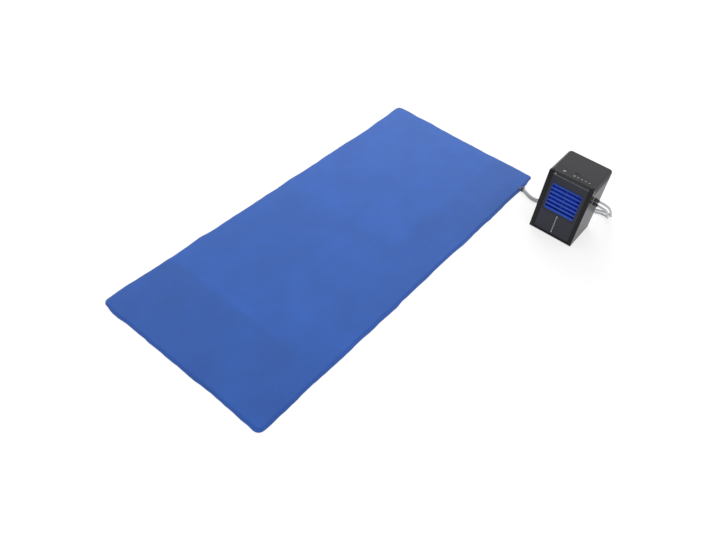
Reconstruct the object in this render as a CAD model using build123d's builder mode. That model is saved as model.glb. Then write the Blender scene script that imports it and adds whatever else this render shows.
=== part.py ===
from build123d import *
import math
import os

os.makedirs("parts", exist_ok=True)

# Fits shared by many pieces (millimetres)
seam_gap = 0.2
slip_gap = 0.3
running_gap = 0.06

# Pad: two covers round a grooved foam core with one long water tube
pad_width = 700.0
pad_length = 1600.0
cover_thickness = 0.8
core_thickness = 5.0
hem_width = 6.0
skirt_angle = 30.0
pad_corner_radius = 22.0
near_corner_radius = 30.0
water_tube_radius = 2.3
water_leg_count = 8
water_leg_span = 600.0
water_bend_radius = 34.0
water_end_margin = 55.0

# Gland where the two hoses leave the pad, aimed at an angle to the pad's edge
gland_y = 691.0
gland_turn = -30.0
gland_tongue = 14.0
tongue_half_width = 9.0
gland_reach = 15.0
gland_half_width = 5.4
gland_bottom = 0.3
gland_wall = 1.1
gland_neck_top = 9.0
gland_slope_end = 7.5
tube_pitch = 10.0
hose_pitch = 9.2
socket_depth = 6.0

# Hoses
hose_radius = 4.0
hose_fit = 0.15

# Cooler unit: place of its front left corner on the floor, and its overall size
unit_left = 478.0
unit_front = 526.0
unit_width = 175.0
unit_depth = 166.0
unit_height = 272.0
case_wall = 2.5
back_corner_radius = 15.0
foot_height = 3.0
foot_radius = 8.0

# Front frame and panel
frame_depth = 12.0
rim_width = 17.0
bottom_bar_top = 9.0
frame_bottom = 1.0
ear_radius = 7.0
panel_top = 258.0
panel_recess = 3.0
panel_thickness = 2.5
trim_height = 1.4
trim_proud = 0.4

# Blue grille
grille_width = 120.0
grille_height = 118.0
grille_centre_z = 164.0
grille_border = 2.6
grille_depth = 10.0
slat_count = 7
slat_pitch = 17.7
slat_reach = 4.5
slat_rise = 3.0
slat_thickness = 1.8
post_width = 2.0
post_depth = 2.0
post_bite = 0.6

# Top deck, lid and control strip
deck_top = 270.0
deck_bottom = 258.0
deck_thickness = 3.0
deck_edge_radius = 7.0
lid_front = 46.0
lid_back = 158.0
lid_side_margin = 10.0
lid_gap = 0.5
lid_ledge = 5.0
lid_ledge_gap = 0.1
lid_corner_radius = 3.5
pin_radius = 0.9
strip_front = 18.0
strip_back = 42.0
strip_left = 20.0
strip_right = 158.0
overlay_thickness = 0.8

# Rounded front of the deck between the rims, and the indicator light in it
nose_front = 3.4
nose_shoulder = 260.5
nose_wall = 2.4
indicator_x = 25.4
indicator_z = 261.5
indicator_radius = 1.8
indicator_back = 17.6

# Buttons: place of the power button, then the row of small ones
button_y = 27.0
power_button_x = 46.0
small_button_x = 85.0
small_button_pitch = 14.6
small_button_radius = 3.5
power_button_radius = 5.2
button_travel = 0.7
button_proud = 0.9
flange_step = 0.9
flange_thickness = 0.5

# Ports and couplings on the right side
port_y = 47.0
return_port_z = 206.0
supply_port_z = 188.0
port_radius = 4.5
coupling_radius = 6.3
coupling_length = 20.0
latch_travel = 1.0

# Tank, sight tube and float
tank_left = 14.0
tank_right = 161.0
tank_front = 18.0
tank_back = 158.0
tank_top = 98.0
tank_wall = 2.0
sight_radius = 3.0
sight_bore = 2.1
sight_bottom = 14.0
sight_top = 97.0
sight_y = 6.5
nipple_radius = 1.9
float_radius = 1.8
drain_x = 40.0
drain_z = 18.5
drain_bore = 5.0

# Air path
fan_size = 120.0
fan_thickness = 25.0
fan_bore = 57.0
fan_tip_radius = 55.0
fan_hub_radius = 19.5
fan_screw_pitch = 105.0
blade_count = 7
bulkhead_front = 33.0
bulkhead_thickness = 3.0
cassette_depth = 18.0
cassette_wall = 3.0
cassette_below = 59.5
cassette_above = 58.5
pleat_count = 14
rear_grille_size = 112.0
rear_slat_count = 12

# Inner water tubes and the pump
inner_tube_radius = 3.5
inner_tube_bore = 2.5
riser_x = 152.0
drip_y = 24.0
pump_shaft_radius = 1.3
impeller_radius = 10.5
impeller_vanes = 6

# Planes of the unit: floor plan, front view and side view
unit_floor = Plane(origin=(unit_left, unit_front, 0))
unit_face = Plane(origin=(unit_left, unit_front, 0), x_dir=(1, 0, 0), z_dir=(0, -1, 0))
unit_side = Plane(origin=(unit_left, unit_front, 0), x_dir=(0, 1, 0), z_dir=(1, 0, 0))

# Sizes that follow from the ones above
core_bottom = cover_thickness
core_top = core_bottom + core_thickness
pad_top = core_top + cover_thickness
skirt_run = (core_thickness + cover_thickness) * math.tan(math.radians(skirt_angle))
core_inset = hem_width + skirt_run + cover_thickness + slip_gap
water_level_z = core_bottom + core_thickness / 2
case_front = frame_depth + seam_gap
unit_middle = unit_width / 2
floor_top = foot_height + 3.0
base_rim_top = foot_height + 6.0
base_lip_top = base_rim_top + 6.0
shell_bottom = base_rim_top + seam_gap
shell_top = deck_bottom - seam_gap
lip_inset = case_wall + slip_gap
cassette_front = bulkhead_front - slip_gap - cassette_depth
cassette_width = grille_width + 6.0
cassette_bottom = grille_centre_z - cassette_below
cassette_top = grille_centre_z + cassette_above
fan_front = bulkhead_front + bulkhead_thickness + seam_gap
fan_back = fan_front + fan_thickness


def save(piece, name):
    """Label a finished piece and write its file."""
    piece.part.label = name
    export_step(piece.part, f"parts/{name}.step")


def pad_outline(inset):
    """Plan of the pad pulled in by inset, with the tighter corner nearest the unit."""
    with BuildSketch(mode=Mode.PRIVATE) as outline:
        Rectangle(pad_width - 2 * inset, pad_length - 2 * inset)
        far_corners = outline.vertices().sort_by(lambda corner: corner.X + corner.Y)[:3]
        fillet(far_corners, pad_corner_radius - inset)
        near_corner = outline.vertices().sort_by(lambda corner: corner.X + corner.Y)[-1]
        fillet(near_corner, near_corner_radius - inset)
    return outline.sketch


def case_outline(inset, front=case_front):
    """Plan of the housing behind the front frame, pulled in by inset at its sides and back."""
    with BuildSketch(mode=Mode.PRIVATE) as plan:
        with Locations((unit_middle, (front + unit_depth - inset) / 2)):
            Rectangle(unit_width - 2 * inset, unit_depth - inset - front)
        fillet(plan.vertices().group_by(Axis.Y)[-1], back_corner_radius - inset)
    return plan.sketch


# Pad bottom cover
with BuildPart() as pad_bottom_cover:
    with BuildSketch():
        add(pad_outline(0))
    extrude(amount=cover_thickness)
save(pad_bottom_cover, "pad_bottom_cover")

# The gland's own plan axes: local x runs out along the hoses, local y across them
gland_plane = Plane(
    origin=(pad_width / 2, gland_y, 0),
    x_dir=(math.cos(math.radians(gland_turn)), math.sin(math.radians(gland_turn)), 0),
    z_dir=(0, 0, 1),
)
tongue_top = core_top - 0.05

# Pad top cover: welded hem, sloped skirt and raised field, with a mouth for the gland's tongue
with BuildPart() as pad_top_cover:
    with BuildSketch(Plane.XY.offset(core_bottom)):
        add(pad_outline(0))
    extrude(amount=cover_thickness)
    with BuildSketch(Plane.XY.offset(core_bottom)):
        add(pad_outline(hem_width))
    extrude(amount=core_thickness + cover_thickness, taper=skirt_angle)
    with BuildSketch(Plane.XY.offset(core_bottom)):
        add(pad_outline(hem_width + cover_thickness))
    extrude(amount=core_thickness, taper=skirt_angle, mode=Mode.SUBTRACT)
    with BuildSketch(gland_plane.offset(core_bottom)):
        with Locations((gland_reach / 2 - gland_tongue / 2, 0)):
            Rectangle(gland_tongue + gland_reach + 2, 2 * (tongue_half_width + slip_gap))
    extrude(amount=core_thickness, mode=Mode.SUBTRACT)
save(pad_top_cover, "pad_top_cover")

# Route of the pad's water tube: in at the gland, down and up in legs, and back to the gland
leg_pitch = water_leg_span / (water_leg_count - 1)
leg_x = [-water_leg_span / 2 + leg_pitch * leg for leg in range(water_leg_count)]
foot_end_y = -pad_length / 2 + water_end_margin
head_end_y = pad_length / 2 - water_end_margin - 95.0
return_entry = gland_plane.from_local_coords((-gland_tongue, tube_pitch / 2, water_level_z))
return_bend = gland_plane.from_local_coords((-gland_tongue - 25, tube_pitch / 2, water_level_z))
supply_entry = gland_plane.from_local_coords((-gland_tongue, -tube_pitch / 2, water_level_z))
supply_bend = gland_plane.from_local_coords((-gland_tongue - 12, -tube_pitch / 2, water_level_z))
water_points = [return_entry, return_bend, Vector(leg_x[0], return_bend.Y, water_level_z)]
for leg, x in enumerate(leg_x):
    going_down = leg % 2 == 0
    start_y, end_y = (head_end_y, foot_end_y) if going_down else (foot_end_y, head_end_y)
    if leg > 0:
        water_points.append(Vector(x, start_y, water_level_z))
    if leg < water_leg_count - 1:
        water_points.append(Vector(x, end_y, water_level_z))
water_points += [Vector(leg_x[-1], supply_bend.Y, water_level_z), supply_bend, supply_entry]
water_radii = [water_bend_radius] * (len(water_points) - 2)
water_radii[0] = water_bend_radius
water_radii[-1] = 8.0
water_radii[-2] = 8.0
with BuildLine() as water_route:
    FilletPolyline(*water_points, radius=water_radii)

# Water tube laid in the core
with BuildPart() as pad_water_tube:
    with BuildSketch(Plane(origin=water_points[0], z_dir=water_route.line @ 0 - return_bend)):
        Circle(water_tube_radius)
    sweep(path=water_route.line)
save(pad_water_tube, "pad_water_tube")

# Foam core with the open groove that holds the tube
with BuildPart() as pad_core:
    with BuildSketch(Plane.XY.offset(core_bottom + 0.05)):
        add(pad_outline(core_inset))
    extrude(amount=core_thickness - 0.1)
    with BuildSketch(Plane.XY.offset(water_level_z - water_tube_radius - slip_gap / 2)):
        trace(water_route.line.moved(Location((0, 0, -water_level_z))), 2 * (water_tube_radius + slip_gap))
    extrude(amount=core_thickness, mode=Mode.SUBTRACT)
    with BuildSketch(gland_plane.offset(core_bottom)):
        with Locations((gland_reach / 2, 0)):
            Rectangle(gland_reach + 2 * gland_tongue, 2 * (tongue_half_width + slip_gap))
    extrude(amount=core_thickness, mode=Mode.SUBTRACT)
save(pad_core, "pad_core")

# Gland: a slim body outside the hem with one socket above the other, and a flat tongue between the covers
edge_slope = math.tan(math.radians(-gland_turn))
edge_offset = slip_gap / math.cos(math.radians(gland_turn))
lower_socket_z = gland_bottom + gland_wall + hose_radius + hose_fit
upper_socket_z = lower_socket_z + hose_pitch
gland_top = upper_socket_z + hose_radius + hose_fit + gland_wall
with BuildPart() as pad_hose_gland:
    with BuildSketch(gland_plane.offset(gland_bottom)):
        with BuildLine():
            Polyline(
                (edge_offset - gland_half_width * edge_slope, gland_half_width),
                (gland_reach, gland_half_width),
                (gland_reach, -gland_half_width),
                (edge_offset + gland_half_width * edge_slope, -gland_half_width),
                close=True,
            )
        make_face()
    extrude(amount=gland_top - gland_bottom)
    fillet(pad_hose_gland.edges().filter_by(Axis.Z), 1.6)
    fillet(pad_hose_gland.faces().sort_by(Axis.Z)[-1].edges(), 1.0)
    gland_side = Plane(origin=gland_plane.origin, x_dir=gland_plane.x_dir, z_dir=-gland_plane.y_dir)
    with BuildSketch(gland_side):
        with BuildLine():
            Polyline(
                (-gland_reach, gland_neck_top),
                (edge_offset + gland_half_width * edge_slope, gland_neck_top),
                (gland_slope_end, gland_top),
                (gland_slope_end, gland_top + 1),
                (-gland_reach, gland_top + 1),
                close=True,
            )
        make_face()
    extrude(amount=gland_half_width + 1, both=True, mode=Mode.SUBTRACT)
    with BuildSketch(gland_plane.offset(core_bottom)):
        with BuildLine():
            Polyline(
                (-gland_tongue, tongue_half_width),
                (-edge_offset - tongue_half_width * edge_slope, tongue_half_width),
                (-edge_offset - gland_half_width * edge_slope, gland_half_width),
                (gland_slope_end, gland_half_width),
                (gland_slope_end, -gland_half_width),
                (-edge_offset + gland_half_width * edge_slope, -gland_half_width),
                (-edge_offset + tongue_half_width * edge_slope, -tongue_half_width),
                (-gland_tongue, -tongue_half_width),
                close=True,
            )
        make_face()
    extrude(amount=tongue_top - core_bottom)
    socket_face = Plane(
        origin=gland_plane.from_local_coords((gland_reach, 0, (lower_socket_z + upper_socket_z) / 2)),
        x_dir=gland_plane.y_dir,
        z_dir=gland_plane.x_dir,
    )
    with Locations(socket_face):
        with GridLocations(1, hose_pitch, 1, 2):
            Hole(hose_radius + hose_fit, depth=socket_depth)
save(pad_hose_gland, "pad_hose_gland")

# Base tray: floor, outer rim, inner lip notched for the drain, screw columns and sockets for the feet
spout_radius = drain_bore + 2.4
case_screw_places = [(7.0, 50.0), (unit_width - 7.0, 50.0), (7.0, 138.0), (unit_width - 7.0, 138.0)]
foot_places = [(24.0, 30.0), (unit_width - 24.0, 30.0), (24.0, 146.0), (unit_width - 24.0, 146.0)]
screw_radius = 1.5
screw_head_radius = 3.0
screw_head_height = 2.0
screw_drive_radius = 1.3
screw_drive_depth = 1.2
screw_length = 28.0
screw_boss_radius = 4.3
foot_peg_radius = 3.0
foot_peg_height = 2.4
with BuildPart() as base_tray:
    with BuildSketch(unit_floor.offset(foot_height)):
        add(case_outline(0))
    extrude(amount=base_rim_top - foot_height)
    with BuildSketch(unit_floor.offset(base_rim_top)):
        add(case_outline(lip_inset))
    extrude(amount=base_lip_top - base_rim_top)
    with BuildSketch(unit_floor.offset(floor_top)):
        add(case_outline(lip_inset + case_wall))
    extrude(amount=base_lip_top - floor_top, mode=Mode.SUBTRACT)
    with BuildSketch(unit_floor.offset(base_lip_top)):
        with Locations((drain_x, unit_depth - lip_inset)):
            Rectangle(2 * (spout_radius + slip_gap), 2 * case_wall + 2)
    extrude(amount=-(base_lip_top - base_rim_top), mode=Mode.SUBTRACT)
    with BuildSketch(unit_floor.offset(foot_height)):
        with Locations(*case_screw_places):
            Circle(screw_boss_radius)
    extrude(amount=base_lip_top - foot_height)
    with Locations(unit_floor.offset(foot_height)):
        with Locations(*[Location((x, y, 0), (180, 0, 0)) for x, y in case_screw_places]):
            CounterBoreHole(
                screw_radius + running_gap, screw_head_radius + slip_gap, screw_head_height + seam_gap
            )
        with Locations(*[Location((x, y, 0), (180, 0, 0)) for x, y in foot_places]):
            Hole(foot_peg_radius + running_gap, depth=foot_peg_height + seam_gap)
save(base_tray, "base_tray")

# Rubber feet, each with a peg pressed up into the base
with BuildPart() as rubber_feet:
    with BuildSketch(unit_floor):
        with Locations(*foot_places):
            Circle(foot_radius)
    extrude(amount=foot_height)
    chamfer(rubber_feet.edges().group_by(Axis.Z)[0], 0.8)
    with BuildSketch(unit_floor.offset(foot_height)):
        with Locations(*foot_places):
            Circle(foot_peg_radius)
    extrude(amount=foot_peg_height)
save(rubber_feet, "rubber_feet")

# Housing shell: both sides and the back in one moulding, with bosses, guide ribs and openings
shell_boss_top = 46.0
rear_opening = rear_grille_size + 0.6
inlet_x = 157.0
inlet_z = 118.0
inlet_radius = 5.5
port_wall_hole = port_radius + 0.1
rib_width = 2.6
rib_depth = 1.6
rib_end = 14.0
boss_web = 3.0
screw_hole_depth = 22.0
with BuildPart() as housing_shell:
    with BuildSketch(unit_floor.offset(shell_bottom)):
        add(case_outline(0))
        add(case_outline(case_wall), mode=Mode.SUBTRACT)
    extrude(amount=shell_top - shell_bottom)
    with BuildSketch(unit_floor.offset(base_lip_top + seam_gap)):
        for x, y in case_screw_places:
            with Locations((x, y)):
                Circle(screw_boss_radius)
            wall_x = case_wall / 2 if x < unit_middle else unit_width - case_wall / 2
            with Locations(((x + wall_x) / 2, y)):
                Rectangle(abs(x - wall_x), boss_web)
    extrude(amount=shell_boss_top - base_lip_top)
    with BuildSketch(unit_floor.offset(cassette_bottom)):
        front_rib_y = bulkhead_front - seam_gap - rib_depth / 2
        back_rib_y = bulkhead_front + bulkhead_thickness + seam_gap + rib_depth / 2
        rib_offset = case_wall + rib_width / 2 - 0.1
        for rib_y in (front_rib_y, back_rib_y):
            with Locations((rib_offset, rib_y), (unit_width - rib_offset, rib_y)):
                Rectangle(rib_width, rib_depth)
    extrude(amount=deck_bottom - rib_end - cassette_bottom)
    with Locations(unit_floor.offset(base_lip_top + seam_gap)):
        with Locations(*[Location((x, y, 0), (180, 0, 0)) for x, y in case_screw_places]):
            Hole(screw_radius + running_gap, depth=screw_hole_depth)
    with BuildSketch(unit_face.offset(-unit_depth)):
        with Locations((unit_middle, grille_centre_z)):
            Rectangle(rear_opening, rear_opening)
        with Locations((inlet_x, inlet_z)):
            Circle(inlet_radius + seam_gap)
        with Locations((drain_x, drain_z)):
            Circle(spout_radius + slip_gap)
    extrude(amount=2 * case_wall, both=True, mode=Mode.SUBTRACT)
    with BuildSketch(unit_side.offset(unit_width)):
        with Locations((port_y, return_port_z), (port_y, supply_port_z)):
            Circle(port_wall_hole)
    extrude(amount=2 * case_wall, both=True, mode=Mode.SUBTRACT)
save(housing_shell, "housing_shell")

# Case screws, up through the base into the shell's bosses
with BuildPart() as case_screws:
    with BuildSketch(unit_floor.offset(foot_height + seam_gap)):
        with Locations(*case_screw_places):
            Circle(screw_head_radius)
    extrude(amount=screw_head_height)
    with BuildSketch(unit_floor.offset(foot_height + seam_gap)):
        with Locations(*case_screw_places):
            RegularPolygon(screw_drive_radius, 6)
    extrude(amount=screw_drive_depth, mode=Mode.SUBTRACT)
    with BuildSketch(unit_floor.offset(foot_height + seam_gap + screw_head_height)):
        with Locations(*case_screw_places):
            Circle(screw_radius)
    extrude(amount=screw_length)
save(case_screws, "case_screws")

# Front frame: two rims that end in rounded ears, a low bottom bar and a seat for the panel
seat_width = 3.0
seat_front = panel_recess + panel_thickness + 0.1
frame_lip_bottom = base_lip_top + 8.0
frame_lip_top = 240.0
frame_lip_reach = 6.0
ear_inner_radius = 3.0
rim_edge_radius = 2.6
with BuildPart() as front_frame:
    with BuildSketch(unit_face):
        with Locations((unit_middle, (frame_bottom + unit_height) / 2)):
            Rectangle(unit_width, unit_height - frame_bottom)
        with Locations((unit_middle, (bottom_bar_top + unit_height) / 2)):
            Rectangle(unit_width - 2 * rim_width, unit_height - bottom_bar_top, mode=Mode.SUBTRACT)
    extrude(amount=-frame_depth)
    ear_corners = front_frame.edges().filter_by(Axis.Y).group_by(Axis.Z)[-1].sort_by(Axis.X)
    fillet([ear_corners[0], ear_corners[-1]], ear_radius)
    fillet([ear_corners[1], ear_corners[2]], ear_inner_radius)
    front_edges = front_frame.faces().sort_by(Axis.Y)[0].edges()
    fillet(front_edges, rim_edge_radius)
    with BuildSketch(unit_face.offset(-frame_depth)):
        with Locations((unit_middle, (foot_height + panel_top) / 2)):
            Rectangle(unit_width - 4.0, panel_top - foot_height - 2.0)
        with Locations((unit_middle, (bottom_bar_top + seat_width + panel_top) / 2)):
            opening_width = unit_width - 2 * (rim_width + seat_width)
            Rectangle(opening_width, panel_top - bottom_bar_top - seat_width, mode=Mode.SUBTRACT)
    extrude(amount=frame_depth - seat_front)
    with BuildSketch(unit_face.offset(-frame_depth)):
        for lip_x in (lip_inset + case_wall / 2, unit_width - lip_inset - case_wall / 2):
            with Locations((lip_x, (frame_lip_bottom + frame_lip_top) / 2)):
                Rectangle(case_wall, frame_lip_top - frame_lip_bottom)
    extrude(amount=-frame_lip_reach)
save(front_frame, "front_frame")

# Front panel: opening for the grille inside a stepped border, and a slot for the sight tube
panel_width = unit_width - 2 * (rim_width + seam_gap)
panel_bottom = bottom_bar_top + seam_gap
border_step = 0.9
border_width = 5.0
border_corner = 3.0
slot_width = 2 * sight_radius + 0.6
trim_bottom = panel_top - trim_height
with BuildPart() as front_panel:
    with BuildSketch(unit_face.offset(-panel_recess)):
        with Locations((unit_middle, (panel_bottom + trim_bottom) / 2)):
            Rectangle(panel_width, trim_bottom - panel_bottom)
    extrude(amount=-panel_thickness)
    with BuildSketch(unit_face.offset(-panel_recess)):
        with Locations((unit_middle, grille_centre_z)):
            RectangleRounded(grille_width + 2 * border_width, grille_height + 2 * border_width, border_corner)
    extrude(amount=-border_step, mode=Mode.SUBTRACT)
    with BuildSketch(unit_face.offset(-panel_recess)):
        with Locations((unit_middle, grille_centre_z)):
            Rectangle(grille_width + 2 * seam_gap, grille_height + 2 * seam_gap)
        with Locations((unit_middle, (sight_bottom + sight_top) / 2)):
            RectangleRounded(slot_width, sight_top - sight_bottom + 2.0, 2.0)
    extrude(amount=-panel_thickness, mode=Mode.SUBTRACT)
save(front_panel, "front_panel")

# Bright trim strip laid on the panel's top edge
with BuildPart() as panel_trim:
    with BuildSketch(unit_face.offset(trim_proud - panel_recess)):
        with Locations((unit_middle, (trim_bottom + running_gap + panel_top) / 2)):
            Rectangle(panel_width, trim_height - running_gap)
    extrude(amount=-panel_thickness - trim_proud)
    fillet(panel_trim.edges().filter_by(Axis.X).group_by(Axis.Y)[0], 0.35)
save(panel_trim, "panel_trim")

# Blue grille: a border, seven slats sloped down and out, and a post behind them
grille_front = panel_recess + border_step
slat_back = grille_front + slat_reach
with BuildPart() as blue_grille:
    with BuildSketch(unit_face.offset(-grille_front + border_step)):
        with Locations((unit_middle, grille_centre_z)):
            Rectangle(grille_width, grille_height)
            offset(amount=-grille_border, mode=Mode.SUBTRACT)
    extrude(amount=-grille_depth)
    with BuildSketch(unit_side.offset(unit_middle)):
        for slat in range(slat_count):
            slat_z = grille_centre_z + slat_pitch * (slat - (slat_count - 1) / 2)
            with BuildLine():
                Polyline(
                    (grille_front, slat_z - slat_rise / 2),
                    (grille_front, slat_z - slat_rise / 2 + slat_thickness),
                    (slat_back - slat_thickness / 2, slat_z + slat_rise / 2 + slat_thickness / 2),
                    (slat_back + slat_thickness / 2, slat_z + slat_rise / 2 - slat_thickness / 2),
                    close=True,
                )
            make_face()
    extrude(amount=grille_width / 2 - grille_border + 0.5, both=True)
    with BuildSketch(unit_face.offset(-slat_back + post_bite)):
        with Locations((unit_middle, grille_centre_z)):
            Rectangle(post_width, grille_height - grille_border)
    extrude(amount=-post_depth)
save(blue_grille, "blue_grille")

# Rear grille: a flange outside the back wall and level slats
rear_slat_pitch = rear_grille_size / rear_slat_count
rear_flange = 2.5
rear_flange_thickness = 1.5
rear_slat_width = 4.0
with BuildPart() as rear_grille:
    with BuildSketch(unit_face.offset(-unit_depth)):
        with Locations((unit_middle, grille_centre_z)):
            RectangleRounded(rear_grille_size + 2 * rear_flange, rear_grille_size + 2 * rear_flange, 3.0)
    extrude(amount=-rear_flange_thickness)
    with BuildSketch(unit_face.offset(-unit_depth)):
        with Locations((unit_middle, grille_centre_z)):
            Rectangle(rear_grille_size, rear_grille_size)
    extrude(amount=case_wall)
    with BuildSketch(unit_face.offset(-unit_depth - rear_flange_thickness)):
        with Locations((unit_middle, grille_centre_z)):
            with GridLocations(rear_grille_size / 2 - 2, rear_slat_pitch, 2, rear_slat_count):
                SlotOverall(rear_grille_size / 2 - 6, rear_slat_pitch - rear_slat_width)
    extrude(amount=case_wall + rear_flange_thickness, mode=Mode.SUBTRACT)
save(rear_grille, "rear_grille")

# Top deck: a shallow cap with a rebate for the lid, a recess for the membrane and wells for the buttons
button_names = ["cool_button", "timer_button", "fan_button", "minus_button", "plus_button"]
button_places = {"power_button": (power_button_x, power_button_radius)}
for count, name in enumerate(button_names):
    button_places[name] = (small_button_x + small_button_pitch * count, small_button_radius)
overlay_bottom = deck_top - overlay_thickness
well_floor = overlay_bottom - 0.1 - flange_thickness - button_travel - 0.3
stem_radius = 1.6
lid_width = unit_width - 2 * lid_side_margin
lid_depth = lid_back - lid_front
lid_middle_y = (lid_front + lid_back) / 2
rebate_floor = deck_top - deck_thickness
lid_thickness = deck_thickness - lid_ledge_gap
pin_y = lid_back - lid_thickness / 2
pin_z = deck_top - lid_thickness / 2
pin_reach = 2.5
skirt_bottom = 244.0
board_top = 261.1
board_post_places = [(40.0, 20.5), (148.0, 20.5), (40.0, 38.5), (148.0, 38.5)]
board_post_radius = 2.2
board_left, board_right = 22.0, 152.0
board_front, board_back = 18.0, 41.0
nose_bottom = panel_top + seam_gap
nose_half_width = unit_middle - rim_width - seam_gap


def nose_profile(wall):
    """Side view of the deck's rounded front, pulled in by wall at its front and top."""
    reach = case_front - nose_front - wall
    rise = deck_top - nose_shoulder - wall
    halfway = math.cos(math.radians(45))
    with BuildSketch(unit_side.offset(unit_middle), mode=Mode.PRIVATE) as profile:
        with BuildLine():
            Polyline(
                (case_front, deck_top - wall),
                (case_front, nose_bottom),
                (case_front - reach, nose_bottom),
                (case_front - reach, nose_shoulder),
            )
            ThreePointArc(
                (case_front - reach, nose_shoulder),
                (case_front - reach * halfway, nose_shoulder + rise * halfway),
                (case_front, nose_shoulder + rise),
            )
        make_face()
    return profile.sketch


with BuildPart() as top_deck:
    with BuildSketch(unit_floor.offset(deck_bottom)):
        add(case_outline(0))
    extrude(amount=deck_top - deck_bottom)
    rear_edges = top_deck.edges().group_by(Axis.Z)[-1].sort_by(Axis.Y)[1:]
    fillet(rear_edges, deck_edge_radius)
    with BuildSketch(unit_floor.offset(deck_bottom)):
        add(case_outline(case_wall, front=case_front + case_wall))
    extrude(amount=deck_top - deck_bottom - deck_thickness, mode=Mode.SUBTRACT)
    with BuildSketch(unit_floor.offset(deck_bottom - 8)):
        add(case_outline(lip_inset))
        add(case_outline(lip_inset + case_wall), mode=Mode.SUBTRACT)
    extrude(amount=rebate_floor - deck_bottom + 8)
    with BuildSketch(unit_face.offset(-case_front)):
        with Locations((unit_middle, (skirt_bottom + deck_bottom + 2) / 2)):
            Rectangle(unit_width - 2 * lip_inset, deck_bottom + 2 - skirt_bottom)
    extrude(amount=-case_wall)
    with BuildSketch(unit_floor.offset(rebate_floor - deck_thickness)):
        with Locations((unit_middle, lid_middle_y)):
            Rectangle(lid_width + 2 * pin_reach + 3, lid_depth + 2 * lid_ledge)
    extrude(amount=deck_thickness)
    with BuildSketch(unit_floor.offset(deck_top)):
        with Locations((unit_middle, lid_middle_y)):
            rebate = Rectangle(lid_width + 2 * lid_gap, lid_depth + 2 * lid_gap)
        fillet(rebate.vertices().group_by(Axis.Y)[0], lid_corner_radius + lid_gap)
    extrude(amount=-deck_thickness, mode=Mode.SUBTRACT)
    with BuildSketch(unit_floor.offset(deck_top)):
        with Locations((unit_middle, lid_middle_y)):
            RectangleRounded(lid_width - 2 * lid_ledge, lid_depth - 2 * lid_ledge, 4.0)
    extrude(amount=-4 * deck_thickness, mode=Mode.SUBTRACT)
    with BuildSketch(unit_floor.offset(deck_top)):
        with Locations(((strip_left + strip_right) / 2, (strip_front + strip_back) / 2)):
            RectangleRounded(strip_right - strip_left + 0.2, strip_back - strip_front + 0.2, 3.1)
    extrude(amount=-overlay_thickness, mode=Mode.SUBTRACT)
    for x, radius in button_places.values():
        with Locations(unit_floor.offset(overlay_bottom)):
            with Locations((x, button_y, 0)):
                well_radius = radius + flange_step + slip_gap
                CounterBoreHole(stem_radius + slip_gap, well_radius, overlay_bottom - well_floor, depth=6.0)
    with BuildSketch(unit_floor.offset(board_top)):
        with Locations(*board_post_places):
            Circle(board_post_radius)
    extrude(amount=rebate_floor - board_top)
    with BuildSketch(unit_side.offset(unit_middle)):
        with Locations((pin_y, pin_z)):
            Circle(pin_radius + running_gap)
    extrude(amount=lid_width / 2 + pin_reach + seam_gap, both=True, mode=Mode.SUBTRACT)
    extrude(nose_profile(0), amount=nose_half_width, both=True)
    extrude(nose_profile(nose_wall), amount=nose_half_width - nose_wall, both=True, mode=Mode.SUBTRACT)
    with BuildSketch(unit_face):
        with Locations((indicator_x, indicator_z)):
            Circle(indicator_radius + running_gap)
    extrude(amount=-indicator_back, mode=Mode.SUBTRACT)
save(top_deck, "top_deck")

# Light pipe from the board's front edge to the deck's rounded front
with BuildPart() as indicator_lens:
    with BuildSketch(unit_face.offset(-nose_front + 0.5)):
        with Locations((indicator_x, indicator_z)):
            Circle(indicator_radius)
    extrude(amount=nose_front - 0.5 - indicator_back)
    fillet(indicator_lens.edges().sort_by(Axis.Y)[0], 0.6)
save(indicator_lens, "indicator_lens")

# Membrane strip that holds the buttons down
with BuildPart() as control_overlay:
    with BuildSketch(unit_floor.offset(overlay_bottom)):
        with Locations(((strip_left + strip_right) / 2, (strip_front + strip_back) / 2)):
            RectangleRounded(strip_right - strip_left, strip_back - strip_front, 3.0)
        for x, radius in button_places.values():
            with Locations((x, button_y)):
                Circle(radius + slip_gap, mode=Mode.SUBTRACT)
    extrude(amount=overlay_thickness)
save(control_overlay, "control_overlay")

# Buttons: crowned cap, flange caught under the membrane, and a stem down to the switch
switch_top = 262.3
switch_size = 5.0
switch_height = 0.8
plunger_radius = 1.4
stem_bottom = switch_top + button_travel + 0.2
for name, (x, radius) in button_places.items():
    with BuildPart() as button:
        with BuildSketch(unit_floor.offset(overlay_bottom - 0.1)):
            with Locations((x, button_y)):
                Circle(radius + flange_step)
        extrude(amount=-flange_thickness)
        with BuildSketch(unit_floor.offset(overlay_bottom - 0.1)):
            with Locations((x, button_y)):
                Circle(radius)
        extrude(amount=overlay_thickness + 0.1 + button_proud)
        fillet(button.edges().group_by(Axis.Z)[-1], 0.5)
        with BuildSketch(unit_floor.offset(stem_bottom)):
            with Locations((x, button_y)):
                Circle(stem_radius)
        extrude(amount=overlay_bottom - 0.2 - stem_bottom)
    save(button, name)

# Control board on the deck's posts, and its push switches
board_thickness = 1.6
with BuildPart() as control_board:
    with BuildSketch(unit_floor.offset(board_top - board_thickness)):
        with Locations(((board_left + board_right) / 2, (board_front + board_back) / 2)):
            Rectangle(board_right - board_left, board_back - board_front)
    extrude(amount=board_thickness)
save(control_board, "control_board")

with BuildPart() as button_switches:
    with BuildSketch(unit_floor.offset(board_top)):
        for x, radius in button_places.values():
            with Locations((x, button_y)):
                Rectangle(switch_size, switch_size)
    extrude(amount=switch_height)
    with BuildSketch(unit_floor.offset(board_top + switch_height)):
        for x, radius in button_places.values():
            with Locations((x, button_y)):
                Circle(plunger_radius)
    extrude(amount=switch_top - board_top - switch_height)
save(button_switches, "button_switches")

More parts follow.
